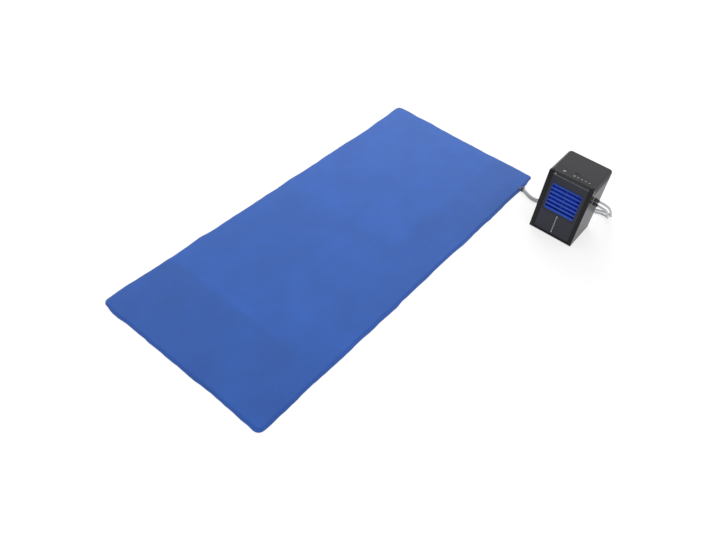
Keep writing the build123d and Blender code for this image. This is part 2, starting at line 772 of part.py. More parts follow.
# Fill lid: rear edge rounded about its pins, finger notch in the front edge
with BuildPart() as top_lid:
    with BuildSketch(unit_floor.offset(deck_top - lid_thickness)):
        with Locations((unit_middle, lid_middle_y)):
            Rectangle(lid_width, lid_depth)
        with Locations((unit_middle, lid_front)):
            SlotOverall(22.0, 5.0, mode=Mode.SUBTRACT)
    extrude(amount=lid_thickness)
    front_edges = top_lid.edges().filter_by(Axis.Z).group_by(Axis.Y)[0].sort_by(Axis.X)
    fillet([front_edges[0], front_edges[-1]], lid_corner_radius)
    fillet(top_lid.faces().sort_by(Axis.Y)[-1].edges().filter_by(Axis.X), lid_thickness / 2 - 0.01)
    with BuildSketch(unit_side.offset(unit_middle)):
        with Locations((pin_y, pin_z)):
            Circle(pin_radius)
    extrude(amount=lid_width / 2, both=True, mode=Mode.SUBTRACT)
save(top_lid, "top_lid")

# Steel pins at the lid's rear corners
pin_length = 10.0
with BuildPart() as lid_hinge_pins:
    for start_x in (lid_side_margin - pin_reach, unit_width - lid_side_margin + pin_reach - pin_length):
        with BuildSketch(unit_side.offset(start_x)):
            with Locations((pin_y, pin_z)):
                Circle(pin_radius)
        extrude(amount=pin_length)
save(lid_hinge_pins, "lid_hinge_pins")

# Port fittings: flange outside, threaded body through the wall, barb inside and spigot outside
flange_radius = 7.6
flange_depth = 2.0
thread_end = unit_width - case_wall - 6.5
barb_radius = inner_tube_bore - 0.1
barb_length = 8.0
spigot_radius = 3.3
spigot_length = 8.0
port_bore = 1.4
seal_thickness = 1.2
flange_start = unit_width + 0.1
flange_end = flange_start + flange_depth
seal_x = flange_end + 4.0
for name, port_z in (("return_port", return_port_z), ("supply_port", supply_port_z)):
    port_view = Plane(
        origin=unit_side.from_local_coords((port_y, port_z, 0)), x_dir=(1, 0, 0), z_dir=(0, -1, 0)
    )
    with BuildPart() as port:
        with BuildSketch(port_view):
            with BuildLine():
                Polyline(
                    (thread_end - barb_length, port_bore),
                    (thread_end - barb_length, barb_radius),
                    (thread_end, barb_radius),
                    (thread_end, port_radius),
                    (flange_start, port_radius),
                    (flange_start, flange_radius),
                    (flange_end, flange_radius),
                    (flange_end, spigot_radius),
                    (flange_end + spigot_length, spigot_radius),
                    (flange_end + spigot_length, port_bore),
                    close=True,
                )
            make_face()
            with Locations((seal_x, spigot_radius)):
                Rectangle(seal_thickness + 0.2, 2 * seal_thickness, mode=Mode.SUBTRACT)
        revolve(axis=Axis(port_view.origin, (1, 0, 0)))
    save(port, name)

# Nuts that clamp the ports from inside, and the rings that seal their spigots
nut_thickness = 3.5
nut_radius = 8.2
with BuildPart() as port_nuts:
    with BuildSketch(unit_side.offset(unit_width - case_wall - nut_thickness)):
        with Locations((port_y, return_port_z), (port_y, supply_port_z)):
            RegularPolygon(nut_radius, 6)
            Circle(port_radius + running_gap, mode=Mode.SUBTRACT)
    extrude(amount=nut_thickness)
save(port_nuts, "port_nuts")

with BuildPart() as port_seals:
    for port_z in (return_port_z, supply_port_z):
        port_view = Plane(
            origin=unit_side.from_local_coords((port_y, port_z, 0)), x_dir=(1, 0, 0), z_dir=(0, -1, 0)
        )
        with BuildSketch(port_view):
            with Locations((seal_x, spigot_radius - seal_thickness / 2 + 0.05)):
                Circle(seal_thickness / 2)
        revolve(axis=Axis(port_view.origin, (1, 0, 0)))
save(port_seals, "port_seals")

# Couplings on the hose ends: grip rings, a taper to the hose, sockets and a pocket for the latch
coupling_start = flange_end + 0.1
coupling_end = coupling_start + coupling_length
grip_depth = 0.7
grip_width = 1.0
first_grip, second_grip = 1.8, 10.4
taper_start, taper_shoulder = 11.5, 13.0
latch_length = 6.4
latch_half_width = 2.6
latch_middle = coupling_start + 6.2
latch_floor = spigot_radius + 0.7
latch_bottom = latch_floor + latch_travel + 0.2
latch_top = coupling_radius + latch_travel + 0.6
for side, port_z in (("return", return_port_z), ("supply", supply_port_z)):
    port_view = Plane(
        origin=unit_side.from_local_coords((port_y, port_z, 0)), x_dir=(1, 0, 0), z_dir=(0, -1, 0)
    )
    with BuildPart() as coupling:
        with BuildSketch(port_view):
            with BuildLine():
                Polyline(
                    (coupling_start, 0),
                    (coupling_start, coupling_radius),
                    (coupling_start + taper_start, coupling_radius),
                    (coupling_start + taper_shoulder, coupling_radius - 0.8),
                    (coupling_end, hose_radius + 1.2),
                    (coupling_end, 0),
                    close=True,
                )
            make_face()
            with Locations(*[(coupling_start + grip, coupling_radius) for grip in (first_grip, second_grip)]):
                Rectangle(grip_width, 2 * grip_depth, mode=Mode.SUBTRACT)
            with Locations((coupling_start + spigot_length / 2, 0)):
                Rectangle(spigot_length + 1, 2 * (spigot_radius + 0.1), mode=Mode.SUBTRACT)
            with Locations((coupling_end, 0)):
                Rectangle(2 * (socket_depth - 1), 2 * (hose_radius + hose_fit), mode=Mode.SUBTRACT)
        revolve(axis=Axis(port_view.origin, (1, 0, 0)))
        with BuildSketch(Plane(origin=port_view.from_local_coords((latch_middle, latch_floor, 0)))):
            Rectangle(latch_length + 2 * slip_gap, 2 * (latch_half_width + slip_gap))
        extrude(amount=coupling_radius, mode=Mode.SUBTRACT)
    save(coupling, f"{side}_coupling")
    with BuildPart() as latch:
        with BuildSketch(Plane(origin=port_view.from_local_coords((latch_middle, latch_bottom, 0)))):
            Rectangle(latch_length, 2 * latch_half_width)
        extrude(amount=latch_top - latch_bottom)
        fillet(latch.edges().filter_by(Axis.Z), 0.8)
        fillet(latch.edges().group_by(Axis.Z)[-1], 0.5)
    save(latch, f"{side}_latch")

# Water tank with its drain spout and the two holes for the sight tube
tank_width = tank_right - tank_left
tank_depth = tank_back - tank_front
tank_middle = ((tank_left + tank_right) / 2, (tank_front + tank_back) / 2)
tank_floor = floor_top + tank_wall
tank_corner = 8.0
spout_end = unit_depth + 3.0
nipple_levels = (sight_bottom + 8.0, sight_top - 8.0)
with BuildPart() as water_tank:
    with BuildSketch(unit_floor.offset(floor_top)):
        with Locations(tank_middle):
            RectangleRounded(tank_width, tank_depth, tank_corner)
    extrude(amount=tank_top - floor_top)
    with BuildSketch(unit_face.offset(-tank_back + tank_wall)):
        with Locations((drain_x, drain_z)):
            Circle(spout_radius)
    extrude(amount=-(spout_end - tank_back + tank_wall))
    with BuildSketch(unit_floor.offset(tank_floor)):
        with Locations(tank_middle):
            inner_width, inner_depth = tank_width - 2 * tank_wall, tank_depth - 2 * tank_wall
            RectangleRounded(inner_width, inner_depth, tank_corner - tank_wall)
    extrude(amount=tank_top - tank_floor, mode=Mode.SUBTRACT)
    with BuildSketch(unit_face.offset(-spout_end)):
        with Locations((drain_x, drain_z)):
            Circle(drain_bore)
    extrude(amount=spout_end - tank_back + tank_wall, mode=Mode.SUBTRACT)
    with BuildSketch(unit_face.offset(-tank_front)):
        with Locations(*[(unit_middle, level) for level in nipple_levels]):
            Circle(nipple_radius + running_gap)
    extrude(amount=-tank_wall, mode=Mode.SUBTRACT)
save(water_tank, "water_tank")

# Drain plug: a bung in the spout with a gripping head
plug_head_radius = spout_radius + 1.0
plug_head_thickness = 3.2
plug_notch_radius = 1.2
with BuildPart() as drain_plug:
    with BuildSketch(unit_face.offset(-tank_back)):
        with Locations((drain_x, drain_z)):
            Circle(drain_bore - running_gap)
    extrude(amount=-(spout_end + seam_gap - tank_back))
    with BuildSketch(unit_face.offset(-spout_end - seam_gap)):
        with Locations((drain_x, drain_z)):
            Circle(plug_head_radius)
            with PolarLocations(plug_head_radius, 8):
                Circle(plug_notch_radius, mode=Mode.SUBTRACT)
    extrude(amount=-plug_head_thickness)
    fillet(drain_plug.faces().sort_by(Axis.Y)[-1].edges(), 0.6)
save(drain_plug, "drain_plug")

# Clear sight tube beside the tank, joined to it by two nipples
with BuildPart() as sight_tube:
    with BuildSketch(unit_floor.offset(sight_bottom)):
        with Locations((unit_middle, sight_y)):
            Circle(sight_radius)
    extrude(amount=sight_top - sight_bottom)
    fillet(sight_tube.edges(), 0.9)
    with BuildSketch(unit_face.offset(-sight_y - sight_bore)):
        with Locations(*[(unit_middle, level) for level in nipple_levels]):
            Circle(nipple_radius)
    extrude(amount=-(tank_front + tank_wall - sight_y - sight_bore))
    with BuildSketch(unit_floor.offset(sight_bottom + 1)):
        with Locations((unit_middle, sight_y)):
            Circle(sight_bore)
    extrude(amount=sight_top - sight_bottom - 2, mode=Mode.SUBTRACT)
    with BuildSketch(unit_face.offset(-sight_y)):
        with Locations(*[(unit_middle, level) for level in nipple_levels]):
            Circle(nipple_radius - 1.0)
    extrude(amount=-(tank_front + tank_wall - sight_y), mode=Mode.SUBTRACT)
save(sight_tube, "sight_tube")

# Float that shows the level
float_z = sight_bottom + 1 + float_radius + seam_gap
with BuildPart() as level_float:
    with Locations(unit_floor.from_local_coords((unit_middle, sight_y, float_z))):
        Sphere(float_radius)
save(level_float, "level_float")

# Fan bulkhead: carries the fan behind and the cassette's shelf in front
drip_z = cassette_top + slip_gap + inner_tube_radius
bulkhead_bottom = tank_top + seam_gap
bulkhead_top = deck_bottom - 8.5
fan_screw_radius = 2.1
shelf_thickness = 2.5
with BuildPart() as fan_bulkhead:
    with BuildSketch(unit_face.offset(-bulkhead_front)):
        with Locations((unit_middle, (bulkhead_bottom + bulkhead_top) / 2)):
            Rectangle(unit_width - 2 * lip_inset, bulkhead_top - bulkhead_bottom)
        with Locations((unit_middle, grille_centre_z)):
            Circle(fan_bore, mode=Mode.SUBTRACT)
            with GridLocations(fan_screw_pitch, fan_screw_pitch, 2, 2):
                Circle(fan_screw_radius + running_gap, mode=Mode.SUBTRACT)
        with Locations((riser_x, drip_z)):
            Circle(inner_tube_radius + slip_gap, mode=Mode.SUBTRACT)
    extrude(amount=-bulkhead_thickness)
    with BuildSketch(unit_face.offset(-bulkhead_front)):
        with Locations((unit_middle, cassette_bottom - seam_gap - shelf_thickness / 2)):
            Rectangle(cassette_width, shelf_thickness)
    extrude(amount=cassette_depth + slip_gap)
save(fan_bulkhead, "fan_bulkhead")

# Cassette frame round the wick, slotted along its top for the drips
cassette_middle_z = (cassette_bottom + cassette_top) / 2
cassette_height = cassette_top - cassette_bottom
with BuildPart() as wick_frame:
    with BuildSketch(unit_face.offset(-cassette_front)):
        with Locations((unit_middle, cassette_middle_z)):
            RectangleRounded(cassette_width, cassette_height, 2.0)
            inner_width = cassette_width - 2 * cassette_wall
            Rectangle(inner_width, cassette_height - 2 * cassette_wall, mode=Mode.SUBTRACT)
    extrude(amount=-cassette_depth)
    with BuildSketch(unit_floor.offset(cassette_top)):
        with Locations((unit_middle, drip_y)):
            SlotOverall(cassette_width - 16, 4.0)
    extrude(amount=-cassette_wall, mode=Mode.SUBTRACT)
save(wick_frame, "wick_frame")

# Pleated wick: one folded sheet
pleat_depth = 12.0
wick_thickness = 1.2
wick_width = cassette_width - 2 * cassette_wall - 2 * slip_gap
wick_left = unit_middle - wick_width / 2
fold_pitch = wick_width / (2 * pleat_count)
fold_front = cassette_front + (cassette_depth - pleat_depth) / 2
with BuildPart() as evaporative_wick:
    with BuildSketch(unit_floor.offset(cassette_bottom + cassette_wall + slip_gap)):
        near_side = []
        for fold in range(2 * pleat_count + 1):
            fold_y = fold_front if fold % 2 == 0 else fold_front + pleat_depth
            near_side.append((wick_left + fold * fold_pitch, fold_y))
        far_side = [(x, y + 2 * wick_thickness) for x, y in reversed(near_side)]
        with BuildLine():
            Polyline(*near_side, *far_side, close=True)
        make_face()
    extrude(amount=cassette_height - 2 * cassette_wall - 2 * slip_gap)
save(evaporative_wick, "evaporative_wick")

# Fan frame: two square flanges on a round duct, struts and motor hub with the shaft
fan_flange = 3.5
fan_shaft_radius = 2.5
fan_shaft_length = 19.0
strut_depth = 3.0
strut_width = 4.0
with BuildPart() as fan_frame:
    with BuildSketch(unit_face.offset(-fan_front)):
        with Locations((unit_middle, grille_centre_z)):
            RectangleRounded(fan_size, fan_size, 4.0)
    extrude(amount=-fan_thickness)
    with BuildSketch(unit_face.offset(-fan_front - fan_flange)):
        with Locations((unit_middle, grille_centre_z)):
            Rectangle(fan_size, fan_size)
            Circle(fan_size / 2 - 0.6, mode=Mode.SUBTRACT)
    extrude(amount=-(fan_thickness - 2 * fan_flange), mode=Mode.SUBTRACT)
    with BuildSketch(unit_face.offset(-fan_front)):
        with Locations((unit_middle, grille_centre_z)):
            Circle(fan_bore)
            with GridLocations(fan_screw_pitch, fan_screw_pitch, 2, 2):
                Circle(fan_screw_radius + running_gap)
    extrude(amount=-fan_thickness, mode=Mode.SUBTRACT)
    with BuildSketch(unit_face.offset(-fan_back)):
        with Locations((unit_middle, grille_centre_z)):
            Circle(fan_hub_radius)
            for turn in (45, 135):
                Rectangle(2 * fan_bore + 2, strut_width, rotation=turn)
    extrude(amount=strut_depth)
    with BuildSketch(unit_face.offset(-fan_back)):
        with Locations((unit_middle, grille_centre_z)):
            Circle(fan_shaft_radius)
    extrude(amount=fan_shaft_length)
save(fan_frame, "fan_frame")

# Fan rotor: cupped hub and seven twisted blades trimmed to a round tip
rotor_front = fan_front + 2.5
rotor_back = fan_back - strut_depth - 0.8
rotor_middle_y = (rotor_front + rotor_back) / 2
rotor_centre = unit_floor.from_local_coords((unit_middle, rotor_middle_y, grille_centre_z))
blade_thickness = 1.6
root_chord, root_pitch = 21.0, 48.0
tip_chord, tip_pitch = 31.0, 27.0
with BuildPart() as fan_rotor:
    for blade in range(blade_count):
        turn = math.radians(360 / blade_count * blade)
        outward = Vector(math.sin(turn), 0, math.cos(turn))
        along = Vector(math.cos(turn), 0, -math.sin(turn))
        root = (fan_hub_radius - 3, root_chord, root_pitch)
        tip = (fan_tip_radius + 1, tip_chord, tip_pitch)
        for radius, chord, pitch in (root, tip):
            with BuildSketch(Plane(origin=rotor_centre + outward * radius, x_dir=along, z_dir=outward)):
                Rectangle(chord, blade_thickness, rotation=pitch)
        loft()
    with BuildSketch(unit_face.offset(-rotor_middle_y)):
        with Locations((unit_middle, grille_centre_z)):
            Circle(fan_tip_radius)
    extrude(amount=(rotor_back - rotor_front) / 2, both=True, mode=Mode.INTERSECT)
    with BuildSketch(unit_face.offset(-rotor_front)):
        with Locations((unit_middle, grille_centre_z)):
            Circle(fan_hub_radius - 0.5)
    extrude(amount=-(rotor_back - rotor_front))
    fillet(fan_rotor.faces().filter_by(Axis.Y).sort_by(Axis.Y)[0].edges(), 1.5)
    with BuildSketch(unit_face.offset(-rotor_back)):
        with Locations((unit_middle, grille_centre_z)):
            Circle(fan_shaft_radius + running_gap)
    extrude(amount=rotor_back - fan_back + fan_shaft_length + slip_gap, mode=Mode.SUBTRACT)
save(fan_rotor, "fan_rotor")

# Fan screws through both flanges into the bulkhead
fan_screw_head_radius = 3.4
fan_screw_drive_radius = 1.4
fan_screw_head_height = 2.0
with BuildPart() as fan_screws:
    with BuildSketch(unit_face.offset(-fan_back)):
        with Locations((unit_middle, grille_centre_z)):
            with GridLocations(fan_screw_pitch, fan_screw_pitch, 2, 2):
                Circle(fan_screw_head_radius)
                RegularPolygon(fan_screw_drive_radius, 6, mode=Mode.SUBTRACT)
    extrude(amount=-fan_screw_head_height)
    with BuildSketch(unit_face.offset(-fan_back)):
        with Locations((unit_middle, grille_centre_z)):
            with GridLocations(fan_screw_pitch, fan_screw_pitch, 2, 2):
                Circle(fan_screw_radius)
    extrude(amount=fan_back - bulkhead_front)
save(fan_screws, "fan_screws")

# Pump on the tank's floor: body with an open chamber and a shaft, inlet cover, impeller
pump_x = 138.0
pump_front = 38.0
pump_back = 72.0
pump_half_width = 18.0
pump_height = 32.0
chamber_radius = 12.0
chamber_depth = 9.0
chamber_z = tank_floor + 16.0
pump_top = tank_floor + pump_height
pump_cover_thickness = 2.5
cover_slot_length, cover_slot_width = 18.0, 1.8
impeller_disc = 1.2
impeller_hub_radius = 3.2
vane_thickness = 1.2
with BuildPart() as pump_body:
    with BuildSketch(unit_floor.offset(tank_floor)):
        with Locations((pump_x, (pump_front + pump_back) / 2)):
            RectangleRounded(2 * pump_half_width, pump_back - pump_front, 3.0)
    extrude(amount=pump_height)
    fillet(pump_body.faces().sort_by(Axis.Z)[-1].edges(), 2.0)
    with BuildSketch(unit_face.offset(-pump_front)):
        with Locations((pump_x, chamber_z)):
            Circle(chamber_radius)
    extrude(amount=-chamber_depth, mode=Mode.SUBTRACT)
    with BuildSketch(unit_face.offset(-pump_front - chamber_depth)):
        with Locations((pump_x, chamber_z)):
            Circle(pump_shaft_radius)
    extrude(amount=chamber_depth - 1.0)
    with BuildSketch(unit_floor.offset(pump_top - 3)):
        with Locations((riser_x, port_y)):
            Circle(barb_radius)
    extrude(amount=barb_length + 3)
save(pump_body, "pump_body")

with BuildPart() as pump_cover:
    with BuildSketch(unit_face.offset(-pump_front + seam_gap)):
        with Locations((pump_x, chamber_z)):
            RectangleRounded(2 * pump_half_width - 4, pump_height - 4, 3.0)
            with GridLocations(1, 4.0, 1, 4):
                SlotOverall(cover_slot_length, cover_slot_width, mode=Mode.SUBTRACT)
    extrude(amount=pump_cover_thickness)
save(pump_cover, "pump_cover")

with BuildPart() as pump_impeller:
    impeller_back = pump_front + chamber_depth - 0.5
    with BuildSketch(unit_face.offset(-impeller_back)):
        with Locations((pump_x, chamber_z)):
            Circle(impeller_radius)
    extrude(amount=impeller_disc)
    with BuildSketch(unit_face.offset(-impeller_back)):
        with Locations((pump_x, chamber_z)):
            Circle(impeller_hub_radius)
            for vane in range(impeller_vanes // 2):
                Rectangle(2 * impeller_radius - 1, vane_thickness, rotation=360 / impeller_vanes * vane)
    extrude(amount=chamber_depth - 2.0)
    with BuildSketch(unit_face.offset(-impeller_back)):
        with Locations((pump_x, chamber_z)):
            Circle(pump_shaft_radius + running_gap)
    extrude(amount=chamber_depth, mode=Mode.SUBTRACT)
save(pump_impeller, "pump_impeller")

# Inner tubes: riser from the pump to the supply port, and return tube up to the drip bar
tube_end_x = thread_end - 0.3
riser_points = [
    unit_floor.from_local_coords((riser_x, port_y, pump_top + 0.3)),
    unit_floor.from_local_coords((riser_x, port_y, supply_port_z)),
    unit_floor.from_local_coords((tube_end_x, port_y, supply_port_z)),
]
return_points = [
    unit_floor.from_local_coords((tube_end_x, port_y, return_port_z)),
    unit_floor.from_local_coords((riser_x, port_y, return_port_z)),
    unit_floor.from_local_coords((riser_x, port_y, drip_z)),
    unit_floor.from_local_coords((riser_x, drip_y, drip_z)),
    unit_floor.from_local_coords((riser_x - 12, drip_y, drip_z)),
]
for name, points in (("supply_riser", riser_points), ("return_tube", return_points)):
    with BuildLine() as tube_route:
        FilletPolyline(*points, radius=[5.5] * (len(points) - 2))
    with BuildPart() as inner_tube:
        with BuildSketch(Plane(origin=points[0], z_dir=points[1] - points[0])):
            Circle(inner_tube_radius)
            Circle(inner_tube_bore, mode=Mode.SUBTRACT)
        sweep(path=tube_route.line)
    save(inner_tube, name)

# Drip bar: closed far end and a row of holes over the wick
drip_left = unit_middle - wick_width / 2 + 6
drip_right = riser_x - 12
drip_hole_radius = 0.7
drip_hole_pitch = 11.0
drip_hole_count = 9
with BuildPart() as drip_bar:
    with BuildSketch(unit_side.offset(drip_left)):
        with Locations((drip_y, drip_z)):
            Circle(inner_tube_radius)
    extrude(amount=drip_right - drip_left)
    with BuildSketch(unit_side.offset(drip_left + 1.5)):
        with Locations((drip_y, drip_z)):
            Circle(inner_tube_bore)
    extrude(amount=drip_right - drip_left, mode=Mode.SUBTRACT)
    with BuildSketch(unit_floor.offset(drip_z)):
        with Locations((unit_middle, drip_y)):
            with GridLocations(drip_hole_pitch, 1, drip_hole_count, 1):
                Circle(drip_hole_radius)
    extrude(amount=-inner_tube_radius, mode=Mode.SUBTRACT)
save(drip_bar, "drip_bar")

# Power inlet in the back wall
inlet_flange_thickness = 1.4
inlet_body_length = 12.0
inlet_socket_radius = 2.75
inlet_pin_radius = 0.95
inlet_socket_depth = 10.4
with BuildPart() as power_inlet:
    with BuildSketch(unit_face.offset(-unit_depth)):
        with Locations((inlet_x, inlet_z)):
            Circle(inlet_radius + 2.0)
    extrude(amount=-inlet_flange_thickness)
    with BuildSketch(unit_face.offset(-unit_depth)):
        with Locations((inlet_x, inlet_z)):
            Circle(inlet_radius)
    extrude(amount=inlet_body_length)
    with BuildSketch(unit_face.offset(-unit_depth - inlet_flange_thickness)):
        with Locations((inlet_x, inlet_z)):
            Circle(inlet_socket_radius)
            Circle(inlet_pin_radius, mode=Mode.SUBTRACT)
    extrude(amount=inlet_socket_depth, mode=Mode.SUBTRACT)
save(power_inlet, "power_inlet")

# Hoses: from the couplings down to the floor, behind the unit, round its far side and stacked to the gland.
# The first and last points sit in the sockets; the points between are chosen by hand.
hose_start_x = unit_left + coupling_end - socket_depth + 1
hose_start_y = unit_front + port_y
floor_z = hose_radius + 0.3
straight_run = 6.0
return_route = [
    (hose_start_x, hose_start_y, return_port_z),
    (686.5, 573.0, 206.0),
    (701.0, 578.0, 201.0),
    (709.5, 588.0, 191.0),
    (712.5, 602.0, 177.5),
    (714.0, 628.0, 153.0),
    (712.0, 664.0, 119.0),
    (709.0, 700.0, 86.0),
    (705.0, 736.0, 54.0),
    (702.0, 767.0, 29.0),
    (698.5, 790.0, 13.0),
    (685.0, 806.0, 6.0),
    (665.5, 810.5, floor_z),
    (640.0, 799.0, floor_z),
    (606.0, 787.0, floor_z),
    (566.0, 779.5, floor_z),
    (524.0, 768.0, floor_z),
    (488.0, 744.5, floor_z),
    (464.5, 714.5, 7.4),
    (450.5, 687.5, 9.8),
    (439.5, 671.0, 11.8),
    (424.0, 662.8, 12.9),
    (401.0, 665.2, 13.5),
    (384.0, 673.0, 14.1),
    tuple(gland_plane.from_local_coords((gland_reach + straight_run, 0, upper_socket_z))),
    tuple(gland_plane.from_local_coords((gland_reach - socket_depth, 0, upper_socket_z))),
]
supply_route = [
    (hose_start_x, hose_start_y, supply_port_z),
    (683.6, 573.0, 188.0),
    (697.0, 578.0, 183.0),
    (704.9, 587.7, 174.0),
    (706.8, 600.6, 161.5),
    (706.5, 628.0, 137.0),
    (704.5, 662.0, 106.0),
    (701.5, 696.0, 75.0),
    (698.0, 729.0, 46.0),
    (695.0, 755.0, 25.0),
    (692.5, 770.0, 15.5),
    (684.7, 781.6, 9.0),
    (672.4, 788.4, 5.2),
    (658.4, 788.9, floor_z),
    (634.0, 777.5, floor_z),
    (600.0, 768.0, floor_z),
    (564.0, 763.0, floor_z),
    (528.0, 753.5, floor_z),
    (495.0, 735.0, floor_z),
    (470.0, 708.0, floor_z),
    (455.0, 681.0, floor_z),
    (441.0, 666.0, floor_z),
    (424.0, 661.0, floor_z),
    (401.0, 664.5, floor_z + 0.1),
    (384.0, 673.0, floor_z + 0.6),
    tuple(gland_plane.from_local_coords((gland_reach + straight_run, 0, lower_socket_z))),
    tuple(gland_plane.from_local_coords((gland_reach - socket_depth, 0, lower_socket_z))),
]


def corner_radii(points):
    """Largest arc each corner allows: 0.45 of the shorter run over the tangent of half the turn."""
    radii = []
    for before, corner, after in zip(points, points[1:], points[2:]):
        arriving = Vector(*corner) - Vector(*before)
        leaving = Vector(*after) - Vector(*corner)
        half_turn = math.radians(arriving.get_angle(leaving)) / 2
        radii.append(0.45 * min(arriving.length, leaving.length) / math.tan(half_turn))
    return radii


for name, route in (("return_hose", return_route), ("supply_hose", supply_route)):
    radii = corner_radii(route)
    with BuildLine() as hose_line:
        FilletPolyline(*route, radius=radii)
    with BuildPart() as hose:
        with BuildSketch(Plane(origin=route[0], z_dir=(1, 0, 0))):
            Circle(hose_radius)
        sweep(path=hose_line.line)
    save(hose, name)
    route_length = sum(edge.length for edge in hose_line.line.edges())
    fullness = hose.part.volume / (math.pi * hose_radius**2 * route_length)
    print(name, "length", round(route_length, 1), "volume over section times length", round(fullness, 4))
    print("radii", [round(radius) for radius in radii])
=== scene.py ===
import math

import bmesh
import bpy
from mathutils import Matrix, Vector, noise


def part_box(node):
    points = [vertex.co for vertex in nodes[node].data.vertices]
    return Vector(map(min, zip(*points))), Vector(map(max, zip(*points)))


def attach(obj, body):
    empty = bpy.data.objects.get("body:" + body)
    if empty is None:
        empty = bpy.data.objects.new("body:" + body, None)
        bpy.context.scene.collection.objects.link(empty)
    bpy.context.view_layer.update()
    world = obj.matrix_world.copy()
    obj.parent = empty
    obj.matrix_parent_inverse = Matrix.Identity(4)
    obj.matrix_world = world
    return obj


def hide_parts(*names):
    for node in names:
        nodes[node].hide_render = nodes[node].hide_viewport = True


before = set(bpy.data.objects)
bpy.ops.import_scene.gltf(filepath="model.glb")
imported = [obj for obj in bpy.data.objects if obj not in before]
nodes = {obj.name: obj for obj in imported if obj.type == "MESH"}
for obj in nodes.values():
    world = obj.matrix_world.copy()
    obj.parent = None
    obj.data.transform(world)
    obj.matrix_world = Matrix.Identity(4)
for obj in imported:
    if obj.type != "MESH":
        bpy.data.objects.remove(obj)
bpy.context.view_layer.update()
scene = bpy.context.scene
ROOT = "unit_and_pad"

# Camera, from the fit of the pad's corners and the unit's edges
FOCAL_PIXELS = 669.97
IMAGE_WIDTH = 716
camera_right = Vector((0.773663, 0.627216, 0.089691))
camera_down = Vector((0.504668, -0.524438, -0.685766))
camera_forward = Vector((-0.383086, 0.575817, -0.722274))
camera_place = Vector((1.044316, -1.459724, 1.680603))
camera_data = bpy.data.cameras.new("camera")
camera_data.sensor_width = 36.0
camera_data.lens = camera_data.sensor_width * FOCAL_PIXELS / IMAGE_WIDTH
camera_data.clip_start = 0.05
camera = bpy.data.objects.new("camera", camera_data)
camera_turn = Matrix((camera_right, -camera_down, -camera_forward)).transposed().to_4x4()
camera.matrix_world = Matrix.Translation(camera_place) @ camera_turn
scene.collection.objects.link(camera)
scene.camera = camera

# Hoses: the route points of part.py in metres
HOSE_RADIUS = 0.004
FLOOR_RUN = 0.0043
return_route = [
    (0.6702, 0.573, 0.206),
    (0.6865, 0.573, 0.206),
    (0.701, 0.578, 0.201),
    (0.7095, 0.588, 0.191),
    (0.7125, 0.602, 0.1775),
    (0.714, 0.628, 0.153),
    (0.712, 0.664, 0.119),
    (0.709, 0.7, 0.086),
    (0.705, 0.736, 0.054),
    (0.702, 0.767, 0.029),
    (0.6985, 0.79, 0.013),
    (0.685, 0.806, 0.006),
    (0.6655, 0.8105, FLOOR_RUN),
    (0.64, 0.799, FLOOR_RUN),
    (0.606, 0.787, FLOOR_RUN),
    (0.566, 0.7795, FLOOR_RUN),
    (0.524, 0.768, FLOOR_RUN),
    (0.488, 0.7445, FLOOR_RUN),
    (0.4645, 0.7145, 0.0074),
    (0.4505, 0.6875, 0.0098),
    (0.4395, 0.671, 0.0118),
    (0.424, 0.6628, 0.0129),
    (0.401, 0.6652, 0.0135),
    (0.384, 0.673, 0.0141),
    (0.368187, 0.6805, 0.01475),
    (0.357794, 0.6865, 0.01475),
]
supply_route = [
    (0.6702, 0.573, 0.188),
    (0.6836, 0.573, 0.188),
    (0.697, 0.578, 0.183),
    (0.7049, 0.5877, 0.174),
    (0.7068, 0.6006, 0.1615),
    (0.7065, 0.628, 0.137),
    (0.7045, 0.662, 0.106),
    (0.7015, 0.696, 0.075),
    (0.698, 0.729, 0.046),
    (0.695, 0.755, 0.025),
    (0.6925, 0.77, 0.0155),
    (0.6847, 0.7816, 0.009),
    (0.6724, 0.7884, 0.0052),
    (0.6584, 0.7889, FLOOR_RUN),
    (0.634, 0.7775, FLOOR_RUN),
    (0.6, 0.768, FLOOR_RUN),
    (0.564, 0.763, FLOOR_RUN),
    (0.528, 0.7535, FLOOR_RUN),
    (0.495, 0.735, FLOOR_RUN),
    (0.47, 0.708, FLOOR_RUN),
    (0.455, 0.681, FLOOR_RUN),
    (0.441, 0.666, FLOOR_RUN),
    (0.424, 0.661, FLOOR_RUN),
    (0.401, 0.6645, 0.0044),
    (0.384, 0.673, 0.0049),
    (0.368187, 0.6805, 0.00555),
    (0.357794, 0.6865, 0.00555),
]


def hose(name, route):
    """A smooth hose along its route: a cord that starts in its coupling and ends in the gland."""
    data = bpy.data.curves.new(name + "_line", "CURVE")
    data.dimensions = "3D"
    # The bevel is 1 and each point carries the radius, which keeps the curve's own box tight
    data.bevel_depth = 1.0
    data.bevel_resolution = 6
    data.resolution_u = 24
    data.use_fill_caps = True
    spline = data.splines.new("NURBS")
    spline.points.add(len(route) - 1)
    for point, place in zip(spline.points, route):
        point.co = (*place, 1.0)
        point.radius = HOSE_RADIUS
    spline.order_u = 3
    spline.use_endpoint_u = True
    piece = bpy.data.objects.new(name + "_line", data)
    scene.collection.objects.link(piece)
    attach(piece, ROOT)
    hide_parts(name)
    return piece


return_hose = hose("return_hose", return_route)
supply_hose = hose("supply_hose", supply_route)


# Material helpers
NOISE_LOW = 0.3
NOISE_HIGH = 0.7
COLOUR_A = 6
COLOUR_B = 7
COLOUR_RESULT = 2


def new_material(name, colour, roughness, **inputs):
    """A Principled material; further inputs are set by their socket names with underscores for spaces."""
    made = bpy.data.materials.new(name)
    made.use_nodes = True
    shader = made.node_tree.nodes["Principled BSDF"]
    shader.inputs["Base Color"].default_value = (*colour, 1.0)
    shader.inputs["Roughness"].default_value = roughness
    for socket, value in inputs.items():
        shader.inputs[socket.replace("_", " ")].default_value = value
    return made


